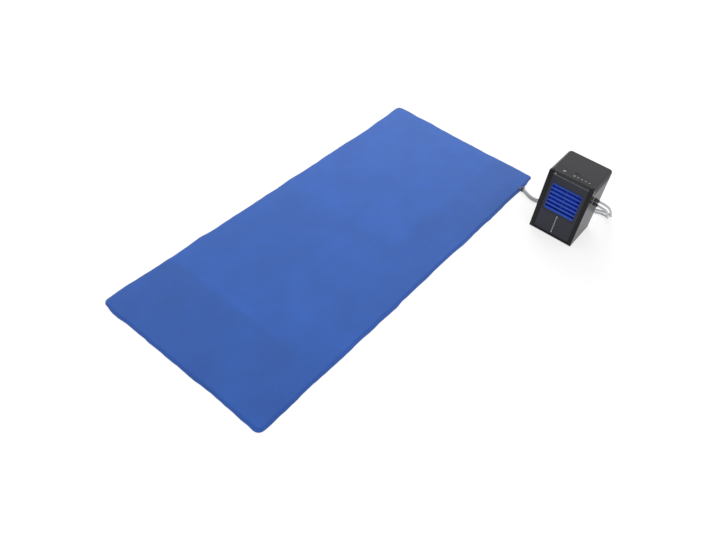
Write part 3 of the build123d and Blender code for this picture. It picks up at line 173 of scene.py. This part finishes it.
def object_coordinates(made):
    """The texture coordinates that stay with the object's mesh."""
    return made.node_tree.nodes.new("ShaderNodeTexCoord").outputs["Object"]


def noise_node(made, scale, detail=3.0, roughness=0.55):
    """A noise texture on object coordinates."""
    tree = made.node_tree
    texture = tree.nodes.new("ShaderNodeTexNoise")
    texture.inputs["Scale"].default_value = scale
    texture.inputs["Detail"].default_value = detail
    texture.inputs["Roughness"].default_value = roughness
    tree.links.new(object_coordinates(made), texture.inputs["Vector"])
    return texture.outputs["Fac"]


def vary(made, source, socket, low, high):
    """Drive a number socket of the shader between two values by a texture."""
    tree = made.node_tree
    spread = tree.nodes.new("ShaderNodeMapRange")
    spread.inputs["From Min"].default_value = NOISE_LOW
    spread.inputs["From Max"].default_value = NOISE_HIGH
    spread.inputs["To Min"].default_value = low
    spread.inputs["To Max"].default_value = high
    tree.links.new(source, spread.inputs["Value"])
    tree.links.new(spread.outputs["Result"], tree.nodes["Principled BSDF"].inputs[socket])


def vary_colour(made, source, dark, light):
    """Blend the base colour between two colours by a texture."""
    tree = made.node_tree
    ramp = tree.nodes.new("ShaderNodeValToRGB")
    ends = ((NOISE_LOW, dark), (NOISE_HIGH, light))
    for element, (position, colour) in zip(ramp.color_ramp.elements, ends):
        element.position = position
        element.color = (*colour, 1.0)
    tree.links.new(source, ramp.inputs["Fac"])
    tree.links.new(ramp.outputs["Color"], tree.nodes["Principled BSDF"].inputs["Base Color"])


def add_bump(made, source, strength, distance):
    """Bump from a texture height, chained after any bump that is already there."""
    tree = made.node_tree
    bump = tree.nodes.new("ShaderNodeBump")
    bump.inputs["Strength"].default_value = strength
    bump.inputs["Distance"].default_value = distance
    tree.links.new(source, bump.inputs["Height"])
    normal = tree.nodes["Principled BSDF"].inputs["Normal"]
    if normal.links:
        tree.links.new(normal.links[0].from_socket, bump.inputs["Normal"])
    tree.links.new(bump.outputs["Normal"], normal)


def scaled(colour, factor):
    """A colour made lighter or darker."""
    return tuple(min(1.0, channel * factor) for channel in colour)


def plastic(name, colour, roughness, grain=0.25, grain_scale=900.0, unevenness=0.12, **inputs):
    """Moulded plastic: slight tone drift, uneven gloss and a fine moulded grain."""
    made = new_material(name, colour, roughness, **inputs)
    low, high = 1 - unevenness, 1 + unevenness
    vary_colour(made, noise_node(made, 18.0), scaled(colour, low), scaled(colour, high))
    vary(made, noise_node(made, 60.0), "Roughness", roughness * low, roughness * high)
    add_bump(made, noise_node(made, grain_scale, 2.0), grain, 0.0002)
    return made


def wave_node(made, scale, direction, distortion=0.0):
    """A wave texture in bands across one axis."""
    tree = made.node_tree
    wave = tree.nodes.new("ShaderNodeTexWave")
    wave.bands_direction = direction
    wave.inputs["Scale"].default_value = scale
    wave.inputs["Distortion"].default_value = distortion
    wave.inputs["Detail Scale"].default_value = 1.5
    tree.links.new(object_coordinates(made), wave.inputs["Vector"])
    return wave.outputs["Fac"]


def math_node(made, operation, first, second):
    """One arithmetic step on two sockets or numbers."""
    tree = made.node_tree
    step = tree.nodes.new("ShaderNodeMath")
    step.operation = operation
    for slot, value in enumerate((first, second)):
        if isinstance(value, (int, float)):
            step.inputs[slot].default_value = value
        else:
            tree.links.new(value, step.inputs[slot])
    return step.outputs["Value"]


def region(made, axis, start, end):
    """A mask that goes from 0 to 1 as the object coordinate on one axis goes from start to end."""
    tree = made.node_tree
    split = tree.nodes.new("ShaderNodeSeparateXYZ")
    tree.links.new(object_coordinates(made), split.inputs["Vector"])
    spread = tree.nodes.new("ShaderNodeMapRange")
    spread.interpolation_type = "SMOOTHSTEP"
    spread.inputs["From Min"].default_value = start
    spread.inputs["From Max"].default_value = end
    tree.links.new(split.outputs[axis], spread.inputs["Value"])
    return spread.outputs["Result"]


def multiply_colour(made, mask, factor):
    """Multiply the base colour by factor where the mask is 1."""
    tree = made.node_tree
    base = tree.nodes["Principled BSDF"].inputs["Base Color"]
    mix = tree.nodes.new("ShaderNodeMix")
    mix.data_type = "RGBA"
    mix.blend_type = "MULTIPLY"
    tree.links.new(mask, mix.inputs["Factor"])
    tree.links.new(base.links[0].from_socket, mix.inputs[COLOUR_A])
    mix.inputs[COLOUR_B].default_value = (factor, factor, factor, 1.0)
    tree.links.new(mix.outputs[COLOUR_RESULT], base)


def roughen(made, mask, amount):
    """Add to the roughness where the mask is 1."""
    rough = made.node_tree.nodes["Principled BSDF"].inputs["Roughness"]
    more = math_node(made, "MULTIPLY", mask, amount)
    made.node_tree.links.new(math_node(made, "ADD", rough.links[0].from_socket, more), rough)


# The pad's fabric: a fine plain weave, soft blotches, and painted shade that darkens the folded zones
THREAD_SCALE = 360.0
BLOTCH_SCALE = 6.5
FOOT_FOLD_Y = -0.53
MIDDLE_FOLD_Y = 0.05
SIDE_FOLD_X = 0.175
FOOT_BLUR = 0.010
FOLD_BLUR = 0.014
FOOT_PAINTED_SHADE = 0.885
MIDDLE_PAINTED_SHADE = 0.95
SIDE_PAINTED_SHADE = 0.94
SHEEN_TINT = (0.60, 0.80, 1.0, 1.0)


def pad_fabric(name, colour, roughness):
    """Woven cover fabric, with painted shade at the foot, below the middle and in a strip along the right
    side.
    """
    sheen = {"Sheen_Weight": 0.35, "Sheen_Roughness": 0.5}
    made = new_material(name, colour, roughness, Specular_IOR_Level=0.35, **sheen)
    made.node_tree.nodes["Principled BSDF"].inputs["Sheen Tint"].default_value = SHEEN_TINT
    vary_colour(made, noise_node(made, BLOTCH_SCALE, 5.0), scaled(colour, 0.91), scaled(colour, 1.09))
    # Painted shade of the folds: the colour is darkened at the foot, over the lower half and along the
    # right strip
    foot = region(made, "Y", FOOT_FOLD_Y + FOOT_BLUR, FOOT_FOLD_Y - FOOT_BLUR)
    multiply_colour(made, foot, FOOT_PAINTED_SHADE)
    lower_half = region(made, "Y", MIDDLE_FOLD_Y + FOLD_BLUR, MIDDLE_FOLD_Y - FOLD_BLUR)
    multiply_colour(made, lower_half, MIDDLE_PAINTED_SHADE)
    side_strip = region(made, "X", SIDE_FOLD_X - FOLD_BLUR, SIDE_FOLD_X + FOLD_BLUR)
    above_foot = region(made, "Y", FOOT_FOLD_Y - FOOT_BLUR, FOOT_FOLD_Y + FOOT_BLUR)
    towards_head = region(made, "Y", MIDDLE_FOLD_Y - 0.2, MIDDLE_FOLD_Y + 0.4)
    for stretch in (above_foot, towards_head):
        multiply_colour(made, math_node(made, "MULTIPLY", side_strip, stretch), SIDE_PAINTED_SHADE)
    across = wave_node(made, THREAD_SCALE, "X", 0.6)
    along = wave_node(made, THREAD_SCALE, "Y", 0.6)
    add_bump(made, math_node(made, "ADD", across, along), 0.35, 0.0003)
    add_bump(made, noise_node(made, 45.0, 4.0), 0.25, 0.0012)
    return made


fabric = pad_fabric("pad_fabric", (0.0142, 0.088, 0.402), 0.72)
hem_fabric = pad_fabric("pad_hem", (0.016, 0.076, 0.345), 0.75)

# Pad: a closed padded form with a welded hem, faint tube ridges, soft folds and a wavering edge
PAD_HALF_X = 0.35
PAD_HALF_Y = 0.80
PAD_TOP = 0.0066
CORNER_RADIUS = 0.022
NEAR_CORNER_RADIUS = 0.018
HEM_WIDTH = 0.0062
HEM_COLOUR_END = 0.0035
CORE_COVER = 0.00597
HEM_THICKNESS = 0.0019
HEM_ROUNDING = 0.0018
RISE_WIDTH = 0.0038
EDGE_SETTLE = 0.0004
EDGE_LIFT = 0.0012
EDGE_SAG = 0.0006
SWELL = 0.0005
SLOW_SWELL = 0.0011
QUICK_SWELL = 0.0004
EDGE_STEPS = (
    0.0, 0.0007, 0.0018, HEM_COLOUR_END, 0.0054, HEM_WIDTH, 0.0068, 0.0076,
    0.0085, 0.0095, 0.0108, 0.0135, 0.017, 0.022, 0.029,
)
STEP_ACROSS = 0.0105
STEP_ALONG = 0.0125
TUBE_LEGS = 8
TUBE_SPAN = 0.6
TUBE_END_Y = 0.745
TUBE_RIDGE = 0.00035
TUBE_RIDGE_WIDTH = 0.0065
FOLD_DEPTH = 0.0004
SIDE_FOLD_DEPTH = 0.0003
FOLD_WIDTH = 0.006


def smooth(value):
    """A number clamped to 0 and 1, with soft ends."""
    value = max(0.0, min(1.0, value))
    return value * value * (3 - 2 * value)


def edge_to_edge(half, step):
    """Positions from one edge to the other, close together near the edges."""
    inner = half - EDGE_STEPS[-1]
    count = math.ceil(2 * inner / step)
    middle = [-inner + 2 * inner * index / count for index in range(1, count)]
    return [-half + e for e in EDGE_STEPS] + middle + [half - e for e in reversed(EDGE_STEPS)]


def rounded(x, y):
    """Pull a point of the rectangle into the rounded corner it lies in."""
    radius = NEAR_CORNER_RADIUS if x > 0 and y > 0 else CORNER_RADIUS
    over_x = abs(x) - (PAD_HALF_X - radius)
    over_y = abs(y) - (PAD_HALF_Y - radius)
    if over_x <= 0 or over_y <= 0:
        return x, y
    pull = max(over_x, over_y) / math.hypot(over_x, over_y)
    return (
        math.copysign(PAD_HALF_X - radius + over_x * pull, x),
        math.copysign(PAD_HALF_Y - radius + over_y * pull, y),
    )


# Slow set of the outline, as in the photograph: outward where positive
RIGHT_SET = 0.0022
LEFT_SET = -0.0028
FAR_CORNER_SET = 0.0080
FAR_CORNER_WIDTH = 0.18
HEAD_SET = -0.0045
HEAD_SET_X = 0.11
HEAD_SET_WIDTH = 0.13


def edge_set(x, y):
    """How far the sides, the head edge and the far left corner leave the plain rectangle."""
    right = RIGHT_SET * smooth((x - 0.3) / 0.04) * smooth((0.6 - y) / 0.1)
    left = LEFT_SET * smooth((-x - 0.3) / 0.04) * smooth((0.65 - y) / 0.1)
    near_head = smooth((y - 0.70) / 0.08)
    corner = FAR_CORNER_SET * math.exp(-(((x + PAD_HALF_X) / FAR_CORNER_WIDTH) ** 2)) * near_head
    dent = HEAD_SET * math.exp(-(((x - HEAD_SET_X) / HEAD_SET_WIDTH) ** 2)) * near_head
    return right + left + corner + dent


# Waves along the outline and the slimmer tip of the corner nearest the unit
WAVER_MEAN = 0.0008
SLOW_WAVER = 0.0052
QUICK_WAVER = 0.0022
CORNER_PULL = 0.005

# Inward moves are small and end within the hem, so that the cover stays clear of the foam core
WAVER_LEAST = -0.0034
MOVE_LEAST = -0.0047
OUTWARD_REACH = 0.02
INWARD_REACH = 0.0053


def waver(x, y):
    """How far the outline moves out, or in where negative, at a point of the edge."""
    slow = noise.noise(Vector((x * 9.0, y * 9.0, 3.1)))
    quick = noise.noise(Vector((x * 30.0, y * 30.0, 7.7)))
    return WAVER_MEAN + SLOW_WAVER * slow + QUICK_WAVER * quick + edge_set(x, y)


def corner_pull(x, y):
    """How far the corner nearest the unit is drawn in, so that it ends in a slimmer tip."""
    return CORNER_PULL * smooth((x - 0.25) / 0.08) * smooth((y - 0.72) / 0.05)


def top_height(x, y, from_edge):
    """Height of the pad's upper face above its underside."""
    if from_edge <= HEM_WIDTH:
        return HEM_THICKNESS * (0.45 + 0.55 * math.sqrt(smooth(from_edge / HEM_ROUNDING)))
    rise = smooth((from_edge - HEM_WIDTH) / RISE_WIDTH)
    settle = EDGE_SETTLE * (1 - smooth((from_edge - 0.01) / 0.02))
    height = HEM_THICKNESS * 0.9 + (PAD_TOP - settle - HEM_THICKNESS * 0.9) * rise
    inside = smooth((from_edge - 0.02) / 0.04)
    pitch = TUBE_SPAN / (TUBE_LEGS - 1)
    nearest = (x + TUBE_SPAN / 2) / pitch
    off = abs(nearest - round(nearest)) * pitch
    ends = smooth((TUBE_END_Y - abs(y)) / 0.03)
    if abs(x) < TUBE_SPAN / 2 + pitch / 2:
        height += TUBE_RIDGE * inside * ends * math.exp(-((off / TUBE_RIDGE_WIDTH) ** 2))
    for fold in (FOOT_FOLD_Y, MIDDLE_FOLD_Y):
        height -= FOLD_DEPTH * inside * math.exp(-(((y - fold) / FOLD_WIDTH) ** 2))
    height -= SIDE_FOLD_DEPTH * inside * math.exp(-(((x - SIDE_FOLD_X) / FOLD_WIDTH) ** 2))
    height += inside * (SWELL + SLOW_SWELL * noise.noise(Vector((x * 5.0, y * 3.2, 0.4))))
    height += QUICK_SWELL * inside * noise.noise(Vector((x * 17.0, y * 9.0, 5.4)))
    if inside > 0:
        height = max(height, CORE_COVER)
    return height


def pad_point(grid_x, grid_y):
    """Place on the pad of a point of the flat grid, with the heights of its lower and upper face."""
    from_edge = min(PAD_HALF_X - abs(grid_x), PAD_HALF_Y - abs(grid_y))
    x, y = rounded(grid_x, grid_y)
    near_edge = math.exp(-from_edge / OUTWARD_REACH)
    move = max(waver(x, y), WAVER_LEAST) - corner_pull(x, y)
    move = max(move, MOVE_LEAST)
    shift = move * (near_edge if move > 0 else math.exp(-from_edge / INWARD_REACH))
    x += shift * smooth((abs(grid_x) / PAD_HALF_X - 0.9) * 10) * math.copysign(1, x)
    y += shift * smooth((abs(grid_y) / PAD_HALF_Y - 0.95) * 20) * math.copysign(1, y)
    lift = EDGE_LIFT * near_edge * max(0.0, noise.noise(Vector((x * 8.0, y * 8.0, 1.7))))
    sag = EDGE_SAG * (1 - smooth(from_edge / 0.002))
    return x, y, lift + sag, lift + top_height(x, y, from_edge)


def make_pad():
    """The pad as one closed mesh: upper face, lower face and the rounded edge between them."""
    across = edge_to_edge(PAD_HALF_X, STEP_ACROSS)
    along = edge_to_edge(PAD_HALF_Y, STEP_ALONG)
    mesh = bmesh.new()
    upper, lower = [], []
    for grid_y in along:
        upper_row, lower_row = [], []
        for grid_x in across:
            x, y, low, high = pad_point(grid_x, grid_y)
            upper_row.append(mesh.verts.new((x, y, high)))
            lower_row.append(mesh.verts.new((x, y, low)))
        upper.append(upper_row)
        lower.append(lower_row)
    hem_faces = []
    last_row, last_column = len(along) - 1, len(across) - 1
    hem_steps = EDGE_STEPS.index(HEM_COLOUR_END)
    for row in range(last_row):
        for column in range(last_column):
            a, b = upper[row][column], upper[row][column + 1]
            c, d = upper[row + 1][column + 1], upper[row + 1][column]
            face = mesh.faces.new((a, b, c, d))
            rim = min(row, last_row - 1 - row, column, last_column - 1 - column)
            if rim < hem_steps:
                hem_faces.append(face)
            a, b = lower[row][column], lower[row][column + 1]
            c, d = lower[row + 1][column + 1], lower[row + 1][column]
            mesh.faces.new((d, c, b, a))
    outline = [(0, column) for column in range(last_column)]
    outline += [(row, last_column) for row in range(last_row)]
    outline += [(last_row, column) for column in range(last_column, 0, -1)]
    outline += [(row, 0) for row in range(last_row, 0, -1)]
    for start, end in zip(outline, outline[1:] + outline[:1]):
        upper_start, upper_end = upper[start[0]][start[1]], upper[end[0]][end[1]]
        lower_start, lower_end = lower[start[0]][start[1]], lower[end[0]][end[1]]
        hem_faces.append(mesh.faces.new((upper_end, upper_start, lower_start, lower_end)))
    for face in mesh.faces:
        face.smooth = True
    for face in hem_faces:
        face.material_index = 1
    data = bpy.data.meshes.new("pad")
    mesh.to_mesh(data)
    mesh.free()
    piece = bpy.data.objects.new("pad", data)
    scene.collection.objects.link(piece)
    data.materials.append(fabric)
    data.materials.append(hem_fabric)
    return piece


pad = make_pad()
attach(pad, ROOT)
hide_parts("pad_top_cover", "pad_bottom_cover")

# Materials of the unit and its fittings
CASE = (0.0085, 0.0088, 0.0115)
case_plastic = plastic("case_plastic", CASE, 0.13, grain=0.02, Specular_IOR_Level=0.42)
side_gloss = {"grain": 0.02, "unevenness": 0.05, "Specular_IOR_Level": 0.40, "IOR": 1.30}
side_plastic = plastic("side_plastic", (0.022, 0.020, 0.033), 0.3, **side_gloss)
DECK_SIDES = (0.4765, 0.6545)
DECK_EDGE = 0.007
SHELL_TOP = 0.258
SHELL_EDGE = 0.03
for side, inward in zip(DECK_SIDES, (1, -1)):
    roughen(case_plastic, region(case_plastic, "X", side + inward * DECK_EDGE, side), 0.5)
roughen(side_plastic, region(side_plastic, "Z", SHELL_TOP - SHELL_EDGE, SHELL_TOP), 0.35)
frame_plastic = plastic("frame_plastic", (0.003, 0.003, 0.004), 0.26, grain=0.06, Specular_IOR_Level=0.23)
panel_plastic = plastic("panel_plastic", (0.006, 0.006, 0.018), 0.40, grain=0.2, Specular_IOR_Level=0.42)
grille_plastic = plastic("grille_plastic", (0.022, 0.088, 0.49), 0.36, grain=0.06, Specular_IOR_Level=0.35)

# Painted shade: the grille's border and its post behind the slats are darkened well below the slats
GRILLE_MIDDLE = (0.5655, 0.164)
GRILLE_INNER = (0.0574, 0.0564)
GRILLE_BLUR = 0.0003
GRILLE_PAINTED_SHADE = 0.3
GRILLE_POST_Y = 0.5337
for axis, middle, inner in zip("XZ", GRILLE_MIDDLE, GRILLE_INNER):
    for sign in (-1, 1):
        start = middle + sign * (inner - GRILLE_BLUR)
        end = middle + sign * (inner + GRILLE_BLUR)
        multiply_colour(grille_plastic, region(grille_plastic, axis, start, end), GRILLE_PAINTED_SHADE)
post = region(grille_plastic, "Y", GRILLE_POST_Y - 0.0004, GRILLE_POST_Y)
multiply_colour(grille_plastic, post, GRILLE_PAINTED_SHADE)
base_plastic = plastic("base_plastic", (0.012, 0.012, 0.013), 0.5)
film_gloss = {"grain": 0.05, "grain_scale": 2500.0, "Specular_IOR_Level": 0.38}
film = plastic("overlay_film", scaled(CASE, 0.8), 0.16, **film_gloss)
power_plastic = plastic("power_plastic", (0.20, 0.205, 0.22), 0.4, grain=0.1)
button_plastic = plastic("button_plastic", (0.15, 0.155, 0.165), 0.4, grain=0.1)
lit_plastic = plastic("lit_plastic", (0.30, 0.305, 0.32), 0.4, grain=0.1)
icon_ink = plastic("icon_ink", (0.36, 0.37, 0.39), 0.5, grain=0.1)
dark_ink = plastic("dark_ink", (0.09, 0.095, 0.11), 0.5, grain=0.1)
ring_plastic = plastic("ring_plastic", (0.004, 0.004, 0.0045), 0.35, grain=0.05)
coupling_plastic = plastic("coupling_plastic", (0.006, 0.006, 0.007), 0.38)
latch_plastic = plastic("latch_plastic", (0.03, 0.03, 0.034), 0.45)
port_plastic = plastic("port_plastic", (0.012, 0.012, 0.013), 0.4)
collar_plastic = plastic("collar_plastic", (0.34, 0.34, 0.35), 0.35)
tank_plastic = plastic("tank_plastic", (0.62, 0.66, 0.68), 0.45, Transmission_Weight=0.25)
lens_plastic = plastic("lens_plastic", (0.80, 0.81, 0.82), 0.3, Transmission_Weight=0.2)
float_plastic = plastic("float_plastic", (0.85, 0.86, 0.86), 0.35)
wick_frame_plastic = plastic("wick_frame_plastic", (0.012, 0.066, 0.55), 0.6)
fan_plastic = plastic("fan_plastic", (0.012, 0.012, 0.013), 0.42)
pump_plastic = plastic("pump_plastic", (0.05, 0.052, 0.056), 0.45)
impeller_plastic = plastic("impeller_plastic", (0.72, 0.72, 0.68), 0.4)
switch_plastic = plastic("switch_plastic", (0.015, 0.015, 0.016), 0.45)
board = plastic("circuit_board", (0.015, 0.11, 0.04), 0.35, grain=0.1)
gland_plastic = plastic("gland_plastic", (0.045, 0.046, 0.052), 0.45)
# The panel trim's light grey is a painted highlight along the front panel's top edge
painted_highlight_trim = plastic("painted_highlight_trim", (0.17, 0.17, 0.16), 0.35, grain=0.05)


def rubber(name, colour, roughness, **inputs):
    """Flexible rubber or vinyl: tone drift, dull patches and a fine uneven skin."""
    made = new_material(name, colour, roughness, **inputs)
    vary_colour(made, noise_node(made, 30.0, 4.0), scaled(colour, 0.86), scaled(colour, 1.10))
    vary(made, noise_node(made, 110.0), "Roughness", roughness * 0.85, roughness * 1.15)
    add_bump(made, noise_node(made, 400.0, 3.0), 0.3, 0.0003)
    return made


hose_rubber = rubber("hose_vinyl", (0.40, 0.405, 0.43), 0.42, Specular_IOR_Level=0.5)
black_rubber = rubber("black_rubber", (0.012, 0.012, 0.012), 0.65)
plug_rubber = rubber("plug_rubber", (0.06, 0.062, 0.068), 0.6)
inner_vinyl = rubber("inner_vinyl", (0.62, 0.66, 0.67), 0.3, Transmission_Weight=0.3)
water_vinyl = rubber("water_vinyl", (0.66, 0.70, 0.72), 0.3)
foam = rubber("foam", (0.70, 0.70, 0.67), 0.9)
add_bump(foam, noise_node(foam, 900.0, 4.0), 0.6, 0.0008)


def clear(name, colour, roughness):
    """Clear moulded plastic with faint streaks in its gloss."""
    made = new_material(name, colour, roughness, Transmission_Weight=0.85, IOR=1.49)
    vary_colour(made, noise_node(made, 25.0), scaled(colour, 0.96), scaled(colour, 1.03))
    vary(made, noise_node(made, 70.0), "Roughness", roughness * 0.8, roughness * 1.3)
    return made


sight_clear = clear("sight_clear", (0.92, 0.94, 0.96), 0.08)


def steel(name, colour, roughness):
    """Turned steel with fine rings and small changes of gloss."""
    made = new_material(name, colour, roughness, Metallic=1.0)
    vary_colour(made, noise_node(made, 90.0), scaled(colour, 0.9), scaled(colour, 1.05))
    vary(made, noise_node(made, 500.0, 2.0), "Roughness", roughness * 0.7, roughness * 1.3)
    add_bump(made, wave_node(made, 900.0, "Z", 1.0), 0.1, 0.0001)
    return made


bright_steel = steel("bright_steel", (0.62, 0.62, 0.63), 0.28)


def paper(name, colour):
    """Fibrous wick paper."""
    made = new_material(name, colour, 0.9)
    vary_colour(made, noise_node(made, 120.0, 5.0), scaled(colour, 0.82), scaled(colour, 1.05))
    add_bump(made, noise_node(made, 700.0, 5.0, 0.7), 0.6, 0.0006)
    return made


wick_paper = paper("wick_paper", (0.010, 0.060, 0.60))

looks = {
    case_plastic: ["top_deck", "top_lid"],
    side_plastic: ["housing_shell"],
    frame_plastic: ["front_frame"],
    panel_plastic: ["front_panel"],
    grille_plastic: ["blue_grille"],
    base_plastic: ["base_tray", "rear_grille", "fan_bulkhead"],
    film: ["control_overlay"],
    power_plastic: ["power_button"],
    button_plastic: ["timer_button", "fan_button", "minus_button", "plus_button"],
    lit_plastic: ["cool_button"],
    coupling_plastic: ["supply_coupling", "return_coupling"],
    latch_plastic: ["supply_latch", "return_latch"],
    port_plastic: ["port_nuts", "power_inlet"],
    collar_plastic: ["supply_port", "return_port"],
    tank_plastic: ["water_tank"],
    lens_plastic: ["indicator_lens"],
    float_plastic: ["level_float"],
    wick_frame_plastic: ["wick_frame"],
    fan_plastic: ["fan_frame", "fan_rotor"],
    pump_plastic: ["pump_body", "pump_cover"],
    impeller_plastic: ["pump_impeller"],
    switch_plastic: ["button_switches"],
    board: ["control_board"],
    gland_plastic: ["pad_hose_gland"],
    painted_highlight_trim: ["panel_trim"],
    black_rubber: ["rubber_feet", "port_seals"],
    plug_rubber: ["drain_plug"],
    inner_vinyl: ["supply_riser", "return_tube", "drip_bar"],
    water_vinyl: ["pad_water_tube"],
    foam: ["pad_core"],
    sight_clear: ["sight_tube"],
    bright_steel: ["lid_hinge_pins", "case_screws", "fan_screws"],
    wick_paper: ["evaporative_wick"],
}
for look, names in looks.items():
    for name in names:
        mesh_data = nodes[name].data
        mesh_data.materials.clear()
        mesh_data.materials.append(look)
for piece in (return_hose, supply_hose):
    piece.data.materials.append(hose_rubber)

# Raised symbols on the buttons, each riding on its button, and the ring round the power button
SYMBOL_HEIGHT = 0.00014
SYMBOL_FOOT = 0.00004
LINE = 0.00042
RING_RADIUS = 0.0068
RING_WIDTH = 0.0016
RING_HEIGHT = 0.0003
FULL_TURN = 359.9


def bar(start, end, width=LINE):
    """Outline of a straight stroke."""
    along = Vector((end[0] - start[0], end[1] - start[1])).normalized() * width / 2
    side = Vector((-along.y, along.x))
    first, last = Vector(start) - along, Vector(end) + along
    return [first + side, first - side, last - side, last + side]


def arc_band(radius, first_turn, last_turn, width=LINE, steps=40):
    """Outline of a band along an arc, with turns in degrees."""
    sweep = last_turn - first_turn
    turns = [math.radians(first_turn + sweep * step / steps) for step in range(steps + 1)]
    outer = [Vector((math.cos(turn), math.sin(turn))) * (radius + width / 2) for turn in turns]
    inner = [Vector((math.cos(turn), math.sin(turn))) * (radius - width / 2) for turn in reversed(turns)]
    return outer + inner


def cross(reach, width=LINE):
    """Outline of a plus sign."""
    half = width / 2
    quarter = [(half, reach), (half, half), (reach, half)]
    points = []
    for turn in range(4):
        for x, y in quarter:
            for _ in range(turn):
                x, y = y, -x
            points.append(Vector((x, y)))
    return points


def hands(first, second, width=LINE):
    """Outline of a clock's two hands, one up and one to the right."""
    half = width / 2
    corners = [(-half, -half), (second, -half), (second, half), (half, half), (half, first), (-half, first)]
    return [Vector(corner) for corner in corners]


def drop(radius):
    """Outline of a water drop."""
    turns = [math.radians(turn) for turn in range(150, 391, 12)]
    round_part = [Vector((math.cos(turn), math.sin(turn))) * radius for turn in turns]
    return round_part + [Vector((0, 2.1 * radius))]


def petal(turn, reach):
    """Outline of one fan blade."""
    spin = math.radians(turn)
    points = [(0.15, 0.0), (0.45, -0.30), (0.85, -0.36), (1.0, -0.08), (0.85, 0.16), (0.50, 0.12)]
    ahead = Vector((math.cos(spin), math.sin(spin)))
    aside = Vector((-math.sin(spin), math.cos(spin)))
    return [(ahead * x + aside * y) * reach for x, y in points]


def raised(name, shapes, place, foot, height, look, body):
    """Flat closed shapes of the given height, standing on a face at foot."""
    mesh = bmesh.new()
    for shape in shapes:
        low = [mesh.verts.new((place[0] + p.x, place[1] + p.y, foot)) for p in shape]
        high = [mesh.verts.new((place[0] + p.x, place[1] + p.y, foot + height)) for p in shape]
        mesh.faces.new(list(reversed(low)))
        mesh.faces.new(high)
        for index in range(len(shape)):
            after = (index + 1) % len(shape)
            mesh.faces.new((low[index], low[after], high[after], high[index]))
    bmesh.ops.recalc_face_normals(mesh, faces=mesh.faces)
    data = bpy.data.meshes.new(name)
    mesh.to_mesh(data)
    mesh.free()
    data.materials.append(look)
    piece = bpy.data.objects.new(name, data)
    scene.collection.objects.link(piece)
    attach(piece, body)
    return piece


symbols = {
    "power_button": [arc_band(0.0023, 125, 415), bar((0, 0.0006), (0, 0.0029))],
    "cool_button": [drop(0.00115)],
    "timer_button": [arc_band(0.0018, 90, 449.6), hands(0.0012, 0.0009)],
    "fan_button": [petal(turn, 0.0024) for turn in (90, 210, 330)],
    "minus_button": [bar((-0.0014, 0), (0.0014, 0))],
    "plus_button": [cross(0.0016)],
}
for button, shapes in symbols.items():
    low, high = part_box(button)
    centre = ((low[0] + high[0]) / 2, (low[1] + high[1]) / 2)
    foot = high[2] - SYMBOL_FOOT
    ink = dark_ink if button == "cool_button" else icon_ink
    raised(button + "_symbol", shapes, centre, foot, SYMBOL_HEIGHT, ink, button)
    if button == "power_button":
        ring = [arc_band(RING_RADIUS, 90, 90 + FULL_TURN, RING_WIDTH, 72)]
        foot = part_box("control_overlay")[1][2]
        raised("power_ring", ring, centre, foot, RING_HEIGHT, ring_plastic, ROOT)

# World and lamps: an even white surround and two large soft lamps
world = bpy.data.worlds.new("studio")
scene.world = world
world.use_nodes = True
background = world.node_tree.nodes["Background"]
background.inputs["Color"].default_value = (1.0, 1.0, 1.0, 1.0)
background.inputs["Strength"].default_value = 1.0


def lamp(name, place, target, size, power):
    """A square soft lamp aimed at a target."""
    data = bpy.data.lights.new(name, "AREA")
    data.size = size
    data.energy = power
    made = bpy.data.objects.new(name, data)
    made.location = place
    made.rotation_euler = (Vector(target) - Vector(place)).to_track_quat("-Z", "Y").to_euler()
    scene.collection.objects.link(made)


lamp("back_lamp", (-1.3, 2.4, 2.2), (0.0, 0.4, 0.0), 2.2, 34.0)
lamp("front_lamp", (1.6, -2.2, 3.0), (0.2, 0.0, 0.1), 2.6, 11.0)

# Pale floor, with its shadows thinned towards the white surround
FLOOR_HALF = 30.0
FLOOR_DROP = 0.0004
FLOOR_CLEARING = 0.65


def seen_by_eye(made):
    """1 for camera rays and for the mirrored and refracted rays that show the same floor, else 0."""
    path = made.node_tree.nodes.new("ShaderNodeLightPath")
    seen = path.outputs["Is Camera Ray"]
    for kind in ("Is Glossy Ray", "Is Transmission Ray"):
        seen = math_node(made, "MAXIMUM", seen, path.outputs[kind])
    return seen


def floor_look():
    """Matt pale floor, mixed with plain white where the eye sees it."""
    made = new_material("floor", (0.97, 0.97, 0.97), 0.9, Specular_IOR_Level=0.0)
    tree = made.node_tree
    glow = tree.nodes.new("ShaderNodeEmission")
    mix = tree.nodes.new("ShaderNodeMixShader")
    share = math_node(made, "MULTIPLY", seen_by_eye(made), FLOOR_CLEARING)
    tree.links.new(share, mix.inputs["Fac"])
    tree.links.new(tree.nodes["Principled BSDF"].outputs["BSDF"], mix.inputs[1])
    tree.links.new(glow.outputs["Emission"], mix.inputs[2])
    tree.links.new(mix.outputs["Shader"], tree.nodes["Material Output"].inputs["Surface"])
    return made


floor_data = bpy.data.meshes.new("floor")
corners = [(x * FLOOR_HALF, y * FLOOR_HALF, 0) for x, y in ((-1, -1), (1, -1), (1, 1), (-1, 1))]
floor_data.from_pydata(corners, [], [(0, 1, 2, 3)])
floor_data.materials.append(floor_look())
floor = bpy.data.objects.new("floor", floor_data)
floor.location = (0.0, 0.0, -FLOOR_DROP)
scene.collection.objects.link(floor)

scene.view_settings.view_transform = "Standard"
bpy.context.view_layer.update()
